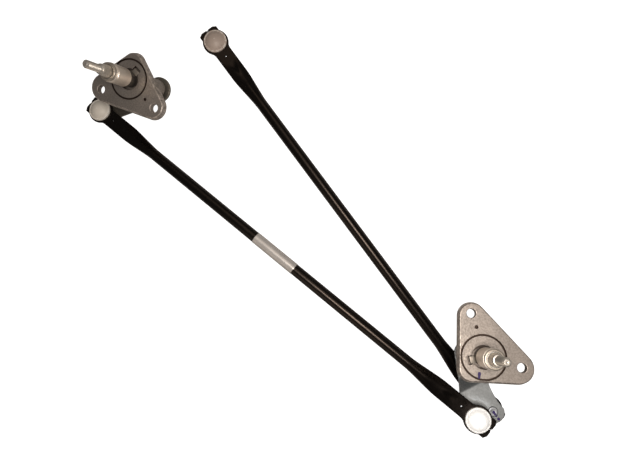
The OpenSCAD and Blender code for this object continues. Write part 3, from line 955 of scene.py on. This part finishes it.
# Places across a flattened end, from its far edge to its near one, that the creases start from
CREASE_ROW = [FLAT_HALF * k / 10 for k in (-8, -6, -4, -2, 0, 2, 4, 6, 8)]
EDGE_DEPTH = 0.4
STRIP_RUN = 8.0
CREASE_END = 0.8
CREASE_FROM = 26.0
CREASE_TIP = 37.0
CREASE_RUN = 12.0
RIDGE_H = 2.2
RIDGE_END = 0.9
RIDGE_TO = 62.0


def flat_end_outline():
    """Outline of a flattened tube end, from one edge of the strip round the slit eye to the other."""
    meet = math.degrees(math.asin(FLAT_HALF / EYE_R))
    shoulder = math.degrees(math.asin(TAB_HALF / EYE_R))
    inner = math.degrees(math.asin(SLIT_HAIR / EYE_BORE))
    leave = 52.0
    half = [(CREASE_FROM - 2.0 * k, FLAT_HALF) for k in range(6)]
    eye = arc(EYE_R, leave, 180 - shoulder, 20)
    start, end = Vector(half[-1]), Vector(eye[0])
    bend = Vector((EYE_R * math.cos(math.radians(meet)), FLAT_HALF))
    half += [tuple(rounded(start, bend, end, k / 5)) for k in range(1, 6)]
    half += eye[1:]
    nip_x = -math.sqrt(TAB_CORNER_R**2 - TAB_HALF**2)
    nip_y = math.sqrt(TAB_CORNER_R**2 - TAB_REACH**2)
    half += [(nip_x + 2.0, TAB_HALF), (nip_x, TAB_HALF), (-TAB_REACH, nip_y), (-TAB_REACH, nip_y - 2.0)]
    half += [(-TAB_REACH, SLIT_HALF + 2.0), (-TAB_REACH, SLIT_HALF)]
    half += [(-TAB_NOTCH, SLIT_HALF), (-TAB_NOTCH, SLIT_HAIR)]
    half += arc(EYE_BORE, 180 - inner, 0, 36)[:-1]
    return half + [(EYE_BORE, 0.0)] + [(x, -y) for x, y in reversed(half)]


def make_flat_end(maker, spin, shift):
    """Adds a flattened end and returns its open ring, one side after the other, for the tube to grow from."""
    half_t = FLAT_T / 2
    bulge = half_t / math.sin(EDGE_ANGLES[-1])
    outline = flat_end_outline()
    count = len(outline)
    spot = Matrix.Translation((shift, 0, 0)) @ turn("Z", spin)

    def put(points, wear_light_shade=0.0):
        return maker.loop([spot @ Vector(p) for p in points], wear_light_shade)

    columns = []
    for i, (x, y) in enumerate(outline):
        back = Vector(outline[max(i - 1, 0)])
        ahead = Vector(outline[min(i + 1, count - 1)])
        way = (ahead - back).normalized()
        normal = Vector((way.y, -way.x))
        strip = clamp((x - EYE_R) / STRIP_RUN)
        depth = EDGE_DEPTH + (bulge - EDGE_DEPTH) * strip
        here = Vector((x, y))
        rows = [here - normal * depth * (1 - math.cos(a)) for a in EDGE_ANGLES]
        columns.append(put([(*row, bulge * math.sin(a)) for row, a in zip(rows, EDGE_ANGLES)], 0.5))
    for a, b in zip(columns, columns[1:]):
        maker.bridge(a, b, closed=False)
    rims = [
        put(circle(DRAIN_AT, 0, DRAIN_R + grow, z, 32))
        for grow, z in (
            (0.3, -half_t), (0.1, -half_t), (0, -half_t + 0.2),
            (0, half_t - 0.2), (0.1, half_t), (0.3, half_t),
        )
    ]
    maker.chain(rims)
    under = put([(CREASE_FROM, y, -half_t) for y in CREASE_ROW])
    top = put([(CREASE_FROM, y, half_t) for y in CREASE_ROW])
    maker.fill([column[0] for column in columns] + under, rims[0])
    maker.fill([column[-1] for column in columns] + top, rims[-1])
    return columns[0] + top[::-1] + columns[-1][::-1] + under


def swell_ring(x, run):
    """Ring of a link tube at x, run millimetres from its eye, with the V where the flat end swells out."""
    bulge = FLAT_T / 2 / math.sin(EDGE_ANGLES[-1])
    t = clamp((run - FLAT_TO) / (ROUND_FROM - FLAT_TO))
    grown = 0.5 * t + 0.5 * eased(t)
    radius = bulge + (ROD_R - bulge) * grown
    straight = (FLAT_HALF - bulge) * (1 - grown)
    fade = 1 - eased((run - RIDGE_TO) / (ROUND_FROM - RIDGE_TO))
    near = [(x, straight + radius * math.cos(a), radius * math.sin(a)) for a in EDGE_ANGLES]
    top = []
    for y in reversed(CREASE_ROW):
        share = y / FLAT_HALF
        across = share * (straight + radius * math.cos(EDGE_ANGLES[-1]))
        out = max(abs(across) - straight, 0.0)
        height = math.sqrt(radius * radius - out * out)
        lift = eased((run - CREASE_TIP + (CREASE_TIP - CREASE_FROM) * abs(share) / CREASE_END) / CREASE_RUN)
        top.append((x, across, height + RIDGE_H * lift * fade * (1 - (share / RIDGE_END) ** 2)))
    upper = near + top
    return upper + [(x, -y, -z) for x, y, z in upper]


def make_rod(maker, length):
    start = make_flat_end(maker, 0, 0)
    end = make_flat_end(maker, 180, length)
    stations = [CREASE_FROM + (ROUND_FROM - CREASE_FROM) * k / 40 for k in range(1, 41)]
    stations.append(ROUND_FROM + 1.0)
    loops = [start] + [maker.loop(swell_ring(x, x)) for x in stations]
    loops += [maker.loop(swell_ring(length - x, x)) for x in reversed(stations)]
    count = len(end)
    last = count - len(CREASE_ROW) - 1
    loops.append([end[(last - k) % count] for k in range(count)])
    maker.chain(loops)


def make_label(maker, length):
    start, end = (length - LABEL_L) / 2, (length + LABEL_L) / 2
    inner, outer = ROD_R + FIT, ROD_R + LABEL_T
    rows = [
        (inner, start), (outer - 0.05, start), (outer, start + 0.15), (outer, start + 1),
        (outer, end - 1), (outer, end - 0.15), (outer - 0.05, end), (inner, end),
    ]
    loops = []
    for radius, x in rows:
        loops.append(maker.loop([(x, a, b) for a, b, _ in circle(0, 0, radius, 0, 64)]))
    maker.chain(loops + [loops[0]])


def make_stroke(maker, path, z):
    """A thin dab of marking paint along a path on a flat face."""
    points = [Vector(p) for p in path]
    left, right = [], []
    for i, point in enumerate(points):
        way = (points[min(i + 1, len(points) - 1)] - points[max(i - 1, 0)]).normalized()
        normal = Vector((-way.y, way.x))
        swell = 0.55 + 0.45 * math.sin(math.pi * (i + 0.6) / len(points)) + 0.12 * math.sin(i * 2.3)
        half = STROKE_W / 2 * swell
        left.append(point + normal * half)
        right.append(point - normal * half)
    rim = left + right[::-1]
    low = maker.loop([(p.x, p.y, z - FIT) for p in rim])
    high = maker.loop([(p.x, p.y, z + STROKE_T) for p in rim])
    maker.bridge(low, high)
    maker.fill(low)
    maker.fill(high)


# Geometry node trees


def combine_node(tree, **parts):
    node = tree.nodes.new("ShaderNodeCombineXYZ")
    for axis, value in parts.items():
        tree.links.new(value, node.inputs[axis])
    return node.outputs["Vector"]


def move_node(tree, geometry, way):
    node = tree.nodes.new("GeometryNodeTransform")
    tree.links.new(geometry, node.inputs["Geometry"])
    tree.links.new(way, node.inputs["Translation"])
    return node.outputs["Geometry"]


def end_tree(tree, geometry, material, out):
    """Ends a tree: makes its instances real and gives them their material."""
    link = tree.links.new
    real, paint = tree.nodes.new("GeometryNodeRealizeInstances"), tree.nodes.new("GeometryNodeSetMaterial")
    link(geometry, real.inputs["Geometry"])
    link(real.outputs["Geometry"], paint.inputs["Geometry"])
    link(material, paint.inputs["Material"])
    link(paint.outputs["Geometry"], out.inputs["Geometry"])


def thread_tree():
    """Sweeps a ridge along a helix: one turn of thread for each pitch."""
    tree = bpy.data.node_groups.get("Shaft thread")
    if tree:
        return tree
    inputs = (
        ("Radius", "Float", THREAD_R * MM), ("Length", "Float", 20 * MM), ("Turns", "Float", 16),
        ("Depth", "Float", 0.6 * MM), ("Start", "Float", CONE_HIGH * MM), ("Material", "Material", None),
    )
    tree, given, out = new_group("Shaft thread", "GeometryNodeTree", inputs, (("Geometry", "Geometry"),))
    new, link, value = tree.nodes.new, tree.links.new, given.outputs
    inner = math_node(tree, "SUBTRACT", value["Radius"], value["Depth"])
    helix = new("GeometryNodeCurveSpiral")
    helix.inputs["Resolution"].default_value = 40
    link(value["Turns"], helix.inputs["Rotations"])
    link(inner, helix.inputs["Start Radius"])
    link(inner, helix.inputs["End Radius"])
    link(value["Length"], helix.inputs["Height"])
    upright = new("GeometryNodeSetCurveNormal")
    upright.mode = "Z_UP"
    link(helix.outputs["Curve"], upright.inputs["Curve"])
    ridge = new("GeometryNodeCurvePrimitiveCircle")
    ridge.inputs["Resolution"].default_value = 4
    link(value["Depth"], ridge.inputs["Radius"])
    sweep = new("GeometryNodeCurveToMesh")
    sweep.inputs["Fill Caps"].default_value = True
    link(upright.outputs["Curve"], sweep.inputs["Curve"])
    link(ridge.outputs["Curve"], sweep.inputs["Profile Curve"])
    lifted = move_node(tree, sweep.outputs["Mesh"], combine_node(tree, Z=value["Start"]))
    end_tree(tree, lifted, value["Material"], out)
    return tree


def serration_tree():
    """Sets slim ridges round the arm cone, each leaning with the cone's side."""
    tree = bpy.data.node_groups.get("Cone serrations")
    if tree:
        return tree
    inputs = (
        ("Count", "Int", 60), ("Radius", "Float", 5.9 * MM), ("Height", "Float", 42 * MM),
        ("Length", "Float", 12 * MM), ("Ridge", "Float", 0.3 * MM), ("Lean", "Float", 0.1),
        ("Material", "Material", None),
    )
    tree, given, out = new_group("Cone serrations", "GeometryNodeTree", inputs, (("Geometry", "Geometry"),))
    new, link, value = tree.nodes.new, tree.links.new, given.outputs
    ring = new("GeometryNodeMeshCircle")
    link(value["Count"], ring.inputs["Vertices"])
    link(value["Radius"], ring.inputs["Radius"])
    ridge = new("GeometryNodeMeshCone")
    ridge.inputs["Vertices"].default_value = 4
    link(value["Ridge"], ridge.inputs["Radius Top"])
    link(value["Ridge"], ridge.inputs["Radius Bottom"])
    link(value["Length"], ridge.inputs["Depth"])
    down = combine_node(tree, Z=math_node(tree, "MULTIPLY", value["Length"], -0.5))
    centred = move_node(tree, ridge.outputs["Mesh"], down)
    index = new("GeometryNodeInputIndex").outputs["Index"]
    share = math_node(tree, "DIVIDE", index, value["Count"])
    angle = math_node(tree, "MULTIPLY", share, 2 * math.pi)
    instances = new("GeometryNodeInstanceOnPoints")
    link(ring.outputs["Mesh"], instances.inputs["Points"])
    link(centred, instances.inputs["Instance"])
    link(combine_node(tree, Y=value["Lean"], Z=angle), instances.inputs["Rotation"])
    lifted = move_node(tree, instances.outputs["Instances"], combine_node(tree, Z=value["Height"]))
    end_tree(tree, lifted, value["Material"], out)
    return tree


def run_tree(tree, name, place, body, slot, material, **values):
    """Runs a tree, and keeps its result as a plain mesh at its place."""
    holder = bpy.data.objects.new(name + "_tree", bpy.data.meshes.new(name + "_tree"))
    bpy.context.scene.collection.objects.link(holder)
    modifier = holder.modifiers.new("Tree", "NODES")
    modifier.node_group = tree
    wanted = {**values, "Material": material}
    for item in tree.interface.items_tree:
        if item.item_type == "SOCKET" and item.in_out == "INPUT" and item.name in wanted:
            modifier[item.identifier] = wanted[item.name]
    bpy.context.view_layer.update()
    evaluated = holder.evaluated_get(bpy.context.evaluated_depsgraph_get())
    mesh = bpy.data.meshes.new_from_object(evaluated)
    mesh.name = name
    bpy.data.objects.remove(holder)
    mesh.transform(Matrix.Scale(1 / MM, 4))
    return dress(mesh, name, place, material, body, (), 25)


# What a user would change


class LinkageSizes(bpy.types.PropertyGroup):
    """Sizes of the details that the solids leave out."""

    flange_edge: bpy.props.FloatProperty(
        name="Flange edge", description="Rounding of the cast flanges' upper edge",
        default=1.0 * MM, min=0.0, unit="LENGTH")
    thread_pitch: bpy.props.FloatProperty(
        name="Thread pitch", description="Rise of the shaft thread in one turn",
        default=1.25 * MM, min=0.5 * MM, unit="LENGTH")
    thread_depth: bpy.props.FloatProperty(
        name="Thread depth", description="Depth of the shaft thread",
        default=0.6 * MM, min=0.1 * MM, unit="LENGTH")
    serrations: bpy.props.IntProperty(
        name="Serrations", description="Ridges round the cone that grips the wiper arm", default=60, min=12)
    serration_depth: bpy.props.FloatProperty(
        name="Serration depth", description="Height of the ridges on the arm cone",
        default=0.25 * MM, min=0.05 * MM, unit="LENGTH")


class LinkageFinish(bpy.types.PropertyGroup):
    """Colours of the finishes that show most."""

    casting: bpy.props.FloatVectorProperty(
        name="Casting", description="Colour of the cast flanges", subtype="COLOR", size=3,
        default=(0.465, 0.41, 0.368))
    spigot: bpy.props.FloatVectorProperty(
        name="Spigot", description="Colour of the turned spigots", subtype="COLOR", size=3,
        default=(0.92, 0.82, 0.71))
    shaft: bpy.props.FloatVectorProperty(
        name="Shaft", description="Colour of the bright shafts", subtype="COLOR", size=3,
        default=(0.78, 0.72, 0.64))
    zinc: bpy.props.FloatVectorProperty(
        name="Zinc", description="Colour of the plated right crank", subtype="COLOR", size=3,
        default=(0.5, 0.52, 0.525))
    tube_paint: bpy.props.FloatVectorProperty(
        name="Tube paint", description="Colour of the painted link tubes", subtype="COLOR", size=3,
        default=(0.0012, 0.001, 0.001))
    nylon: bpy.props.FloatVectorProperty(
        name="Nylon", description="Colour of the snap sockets", subtype="COLOR", size=3,
        default=(0.84, 0.78, 0.7))


class LinkageStage(bpy.types.PropertyGroup):
    """Floor, light and camera round the linkage."""

    floor: bpy.props.FloatVectorProperty(
        name="Floor", description="Colour of the floor", subtype="COLOR", size=3, default=(0.55, 0.55, 0.55))
    floor_glow: bpy.props.FloatProperty(
        name="Floor glow", description="How far the floor is lifted towards white in the picture",
        default=1.0, min=0.0)
    lens: bpy.props.FloatProperty(
        name="Lens", description="Focal length of the camera in millimetres", default=27.07, min=10.0)
    light_tint: bpy.props.FloatVectorProperty(
        name="Light tint", description="Colour of the light beside the camera", subtype="COLOR", size=3,
        default=(1.0, 0.93, 0.86))
    fill_tint: bpy.props.FloatVectorProperty(
        name="Fill tint", description="Colour of the soft lights from the sides", subtype="COLOR", size=3,
        default=(1.0, 0.85, 0.7))
    key_power: bpy.props.FloatProperty(
        name="Key light", description="Power of the soft light beside the camera",
        default=2.75, min=0.0, unit="POWER")
    fill_power: bpy.props.FloatProperty(
        name="Fill light", description="Power of each soft light from the sides",
        default=0.7, min=0.0, unit="POWER")
    cap_power: bpy.props.FloatProperty(
        name="Cap glint", description="Power of the small light on the right socket's cap",
        default=6.5, min=0.0, unit="POWER")
    surround: bpy.props.FloatProperty(
        name="Surround", description="Strength of the white surround", default=0.08, min=0.0)


# Operators


class LINKAGE_OT_flanges(bpy.types.Operator):
    """Make both cast flanges with barrel, ribs, groove and key notch"""

    bl_idname = "linkage.flanges"
    bl_label = "Cast flanges"

    def execute(self, context):
        edge = context.scene.linkage_sizes.flange_edge / MM
        for side in SIDES:
            made(make_flange, edge).finish(
                f"{side}_cast_flange", pivot_place(side), cast_aluminium(), f"{side}_housing",
                [f"{side}_flange"], "cast_aluminium")
        return {"FINISHED"}


class LINKAGE_OT_bearings(bpy.types.Operator):
    """Make the keyed bearing tubes, and finish the bushes, seals and washers in them"""

    bl_idname = "linkage.bearings"
    bl_label = "Bearings"

    def execute(self, context):
        inside = {"upper_bush": bronze, "lower_bush": bronze, "shaft_seal": seal_rubber,
                  "upper_washer": washer_steel, "lower_washer": washer_steel}
        for side in SIDES:
            body, place = f"{side}_housing", pivot_place(side)
            made(make_tube).finish(
                f"{side}_keyed_tube", place, bearing_steel(), body, [f"{side}_bearing_tube"], "bearing_steel")
            made(make_key).finish(f"{side}_tube_key", place, key_steel(), body, (), "bearing_steel")
            for part, finish in inside.items():
                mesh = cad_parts[f"{side}_{part}"].data
                mesh.materials.clear()
                mesh.materials.append(finish())
        return {"FINISHED"}


class LINKAGE_OT_spigots(bpy.types.Operator):
    """Make the turned spigots and the bright caps on their ends"""

    bl_idname = "linkage.spigots"
    bl_label = "Spigots"

    def execute(self, context):
        for side in SIDES:
            body, place = f"{side}_housing", pivot_place(side)
            made(make_spigot).finish(
                f"{side}_turned_spigot", place, turned_spigot(), body, [f"{side}_spigot"], "turned_spigot")
            made(make_cap).finish(
                f"{side}_bright_cap", place, plated_cap(), body, [f"{side}_spigot_cap"], "plated_cap")
        return {"FINISHED"}


class LINKAGE_OT_shafts(bpy.types.Operator):
    """Make the wiper shafts with peened foot, serrated arm cone and thread"""

    bl_idname = "linkage.shafts"
    bl_label = "Wiper shafts"

    def execute(self, context):
        sizes = context.scene.linkage_sizes
        depth, ridge = sizes.thread_depth / MM, sizes.serration_depth / MM
        start, end = CONE_HIGH + THREAD_LEAD, SHAFT_TIP - 1.5
        lean = -math.atan2(CONE_R - CONE_TOP_R, CONE_HIGH - CONE_LOW)
        for side in SIDES:
            body, place, steel = f"{side}_crank", pivot_place(side), bright_shaft()
            made(make_shaft, depth, ridge).finish(
                f"{side}_wiper_shaft", place, steel, body, [f"{side}_shaft"], "bright_shaft")
            run_tree(
                thread_tree(), f"{side}_thread", place, body, "bright_shaft", steel, Radius=THREAD_R * MM,
                Length=(end - start) * MM, Turns=(end - start) * MM / sizes.thread_pitch, Depth=depth * MM,
                Start=start * MM)
            run_tree(
                serration_tree(), f"{side}_serrations", place, body, "bright_shaft", steel,
                Count=sizes.serrations, Radius=((CONE_R + CONE_TOP_R) / 2 - ridge) * MM,
                Height=(CONE_LOW + CONE_HIGH) / 2 * MM, Length=(CONE_HIGH - CONE_LOW - 0.8) * MM,
                Ridge=ridge * MM, Lean=lean)
        return {"FINISHED"}


class LINKAGE_OT_cranks(bpy.types.Operator):
    """Make the flat left crank and the joggled right crank"""

    bl_idname = "linkage.cranks"
    bl_label = "Cranks"

    def execute(self, context):
        # The left crank takes the shaded copy of the zinc, which is painted shade.
        for side, make, angle, plating in (("left", make_left_crank, LEFT_CRANK_TURN, shaded_zinc),
                                          ("right", make_right_crank, RIGHT_CRANK_TURN, zinc_plate)):
            place = pivot_place(side) @ turn("Z", angle)
            made(make).finish(
                f"{side}_crank_plate", place, plating(), f"{side}_crank", [f"{side}_crank_arm"], "zinc_plate")
        return {"FINISHED"}


class LINKAGE_OT_studs(bpy.types.Operator):
    """Make the riveted ball studs of both cranks"""

    bl_idname = "linkage.studs"
    bl_label = "Ball studs"

    def execute(self, context):
        studs = (("left", "left_ball_stud", LEFT_STUD, 0), ("right", "right_upper_stud", UPPER_STUD, 0),
                 ("right", "right_lower_stud", LOWER_STUD, 180))
        for side, node, at, flip in studs:
            place = pivot_place(side) @ Matrix.Translation(at) @ turn("X", flip)
            made(make_stud).finish(
                f"{node}_riveted", place, stud_steel(), f"{side}_crank", [node], "stud_steel")
        return {"FINISHED"}


class LINKAGE_OT_links(bpy.types.Operator):
    """Make the painted link tubes with flattened ends, and the foil label"""

    bl_idname = "linkage.links"
    bl_label = "Link tubes"

    def execute(self, context):
        links = (("connecting_link", "link_tube", LEFT_BALL, RIGHT_BALL, LINK_ROLL),
                 ("drive_link", "drive_tube", DRIVE_BALL, FREE_BALL, DRIVE_ROLL))
        for body, node, start, end, roll in links:
            place = link_place(start, end, roll)
            made(make_rod, (end - start).length).finish(
                f"{node}_painted", place, black_paint(), body, [node], "black_paint", 0)
        place = link_place(LEFT_BALL, RIGHT_BALL, LINK_ROLL)
        made(make_label, (RIGHT_BALL - LEFT_BALL).length).finish(
            "foil_label", place, foil(), "connecting_link", ["link_label"], "foil", 0)
        return {"FINISHED"}


class LINKAGE_OT_sockets(bpy.types.Operator):
    """Make the moulded snap sockets in the tubes' eyes"""

    bl_idname = "linkage.sockets"
    bl_label = "Snap sockets"

    def execute(self, context):
        link = link_place(LEFT_BALL, RIGHT_BALL, LINK_ROLL)
        drive = link_place(DRIVE_BALL, FREE_BALL, DRIVE_ROLL)
        link_end = Matrix.Translation(((RIGHT_BALL - LEFT_BALL).length, 0, 0))
        drive_end = Matrix.Translation((DRIVE_L, 0, 0))
        # The right and lower sockets take a lit copy of the nylon, painted light; the free socket takes a
        # shaded copy, painted shade.
        sockets = (("connecting_link", "link_left_socket", link, nylon),
                   ("connecting_link", "link_right_socket", link @ link_end, lit_nylon),
                   ("drive_link", "drive_lower_socket", drive @ turn("X", 180), lit_nylon),
                   ("drive_link", "drive_free_socket", drive @ drive_end, shaded_nylon))
        for body, node, place, moulding in sockets:
            made(make_socket).finish(f"{node}_moulded", place, moulding(), body, [node], "nylon")
        return {"FINISHED"}


class LINKAGE_OT_marks(bpy.types.Operator):
    """Make the dabs of marking paint on the right flange and crank"""

    bl_idname = "linkage.marks"
    bl_label = "Paint marks"

    def execute(self, context):
        head = OUTER_FACE + RIVET_H
        dabs = (
            ("right_flange_mark", "right_housing", 0.0,
             [(-7.6, -12.3), (-8.3, -14.2), (-9.0, -16.0), (-9.8, -18.0)]),
            ("right_rivet_mark", "right_crank", head,
             [(10.3, -62.9), (11.0, -64.5), (11.6, -65.9), (12.2, -67.3)]),
            ("right_crank_mark", "right_crank", OUTER_FACE, [(12.6, -68.1), (12.9, -68.8), (13.2, -69.5)]),
            ("right_edge_mark", "right_crank", OUTER_FACE, [(13.7, -70.7), (14.3, -72.1), (14.9, -73.5)]),
        )
        for name, body, z, path in dabs:
            made(make_stroke, path, z).finish(name, pivot_place("right"), marking_paint(), body)
        return {"FINISHED"}


class LINKAGE_OT_stage(bpy.types.Operator):
    """Make the pale floor, the soft lights and the camera"""

    bl_idname = "linkage.stage"
    bl_label = "Stage"

    def execute(self, context):
        stage = context.scene.linkage_stage
        self.floor(stage)
        self.lights(context.scene, stage)
        self.camera(context.scene, stage)
        return {"FINISHED"}

    def floor(self, stage):
        bm = bmesh.new()
        z = cad_low.z - FLOOR_GAP
        signs = ((-1, -1), (1, -1), (1, 1), (-1, 1))
        bm.faces.new([bm.verts.new((x * FLOOR_HALF, y * FLOOR_HALF, z)) for x, y in signs])
        mesh = bpy.data.meshes.new("floor")
        bm.to_mesh(mesh)
        bm.free()
        material = bpy.data.materials.new("floor_card")
        material.use_nodes = True
        tree = material.node_tree
        bsdf = tree.nodes["Principled BSDF"]
        bsdf.inputs["Base Color"].default_value = (*stage.floor, 1.0)
        bsdf.inputs["Roughness"].default_value = 0.9
        bsdf.inputs["Emission Color"].default_value = (1.0, 1.0, 1.0, 1.0)
        seen = tree.nodes.new("ShaderNodeLightPath").outputs["Is Camera Ray"]
        tree.links.new(math_node(tree, "MULTIPLY", seen, stage.floor_glow), bsdf.inputs["Emission Strength"])
        mesh.materials.append(material)
        floor = bpy.data.objects.new("floor", mesh)
        bpy.context.scene.collection.objects.link(floor)

    def lights(self, scene, stage):
        world = bpy.data.worlds.new("surround")
        world.use_nodes = True
        tree = world.node_tree
        background = tree.nodes["Background"]
        background.inputs["Color"].default_value = (1.0, 1.0, 1.0, 1.0)
        seen = tree.nodes.new("ShaderNodeLightPath").outputs["Is Camera Ray"]
        tree.links.new(math_node(tree, "MAXIMUM", seen, stage.surround), background.inputs["Strength"])
        scene.world = world
        for name, tint, power in (
            ("key", stage.light_tint, stage.key_power),
            ("fill", stage.fill_tint, stage.fill_power),
            ("back", stage.fill_tint, stage.fill_power),
        ):
            light = bpy.data.lights.new(name, "AREA")
            light.energy = power
            light.color = tint
            light.size, at, aim = LAMPS[name]
            self.hang(scene, light, at, aim)
        spot = bpy.data.lights.new("cap_glint", "SPOT")
        spot.energy = stage.cap_power
        spot.spot_size = math.radians(GLINT_ANGLE)
        spot.spot_blend = 0.6
        spot.shadow_soft_size = 0.01
        self.hang(scene, spot, GLINT_AT, RIGHT_BALL * MM)

    def hang(self, scene, light, at, aim):
        lamp = bpy.data.objects.new(light.name, light)
        lamp.location = at
        lamp.rotation_euler = (Vector(aim) - lamp.location).to_track_quat("-Z", "Y").to_euler()
        scene.collection.objects.link(lamp)

    def camera(self, scene, stage):
        data = bpy.data.cameras.new("camera")
        data.sensor_width = 36.0
        data.lens = stage.lens
        data.clip_start = 0.01
        camera = bpy.data.objects.new("camera", data)
        axes = Matrix((CAMERA_RIGHT, CAMERA_UP, CAMERA_BACK)).transposed().to_4x4()
        camera.matrix_world = Matrix.Translation(CAMERA_AT) @ axes
        scene.collection.objects.link(camera)
        scene.camera = camera
        scene.view_settings.view_transform = "Standard"


class LINKAGE_PT_panel(bpy.types.Panel):
    """Sizes, colours and makers of the linkage's pieces"""

    bl_idname = "LINKAGE_PT_panel"
    bl_label = "Wiper linkage"
    bl_space_type = "VIEW_3D"
    bl_region_type = "UI"
    bl_category = "Linkage"

    def draw(self, context):
        for group in (context.scene.linkage_sizes, context.scene.linkage_finish, context.scene.linkage_stage):
            box = self.layout.box()
            for name in group.__annotations__:
                box.prop(group, name)
        for operator in OPERATORS:
            self.layout.operator(operator.bl_idname)


OPERATORS = (
    LINKAGE_OT_stage,
    LINKAGE_OT_flanges,
    LINKAGE_OT_bearings,
    LINKAGE_OT_spigots,
    LINKAGE_OT_shafts,
    LINKAGE_OT_cranks,
    LINKAGE_OT_studs,
    LINKAGE_OT_links,
    LINKAGE_OT_sockets,
    LINKAGE_OT_marks,
)
GROUPS = {"linkage_sizes": LinkageSizes, "linkage_finish": LinkageFinish, "linkage_stage": LinkageStage}


def register():
    for kind in (*GROUPS.values(), *OPERATORS, LINKAGE_PT_panel):
        bpy.utils.register_class(kind)
    for name, kind in GROUPS.items():
        setattr(bpy.types.Scene, name, bpy.props.PointerProperty(type=kind))


def unregister():
    for name in GROUPS:
        delattr(bpy.types.Scene, name)
    for kind in reversed((*GROUPS.values(), *OPERATORS, LINKAGE_PT_panel)):
        bpy.utils.unregister_class(kind)


def main():
    register()
    bpy.ops.linkage.stage()
    bpy.ops.linkage.flanges()
    bpy.ops.linkage.bearings()
    bpy.ops.linkage.spigots()
    bpy.ops.linkage.shafts()
    bpy.ops.linkage.cranks()
    bpy.ops.linkage.studs()
    bpy.ops.linkage.links()
    bpy.ops.linkage.sockets()
    bpy.ops.linkage.marks()


if __name__ == "__main__":
    main()
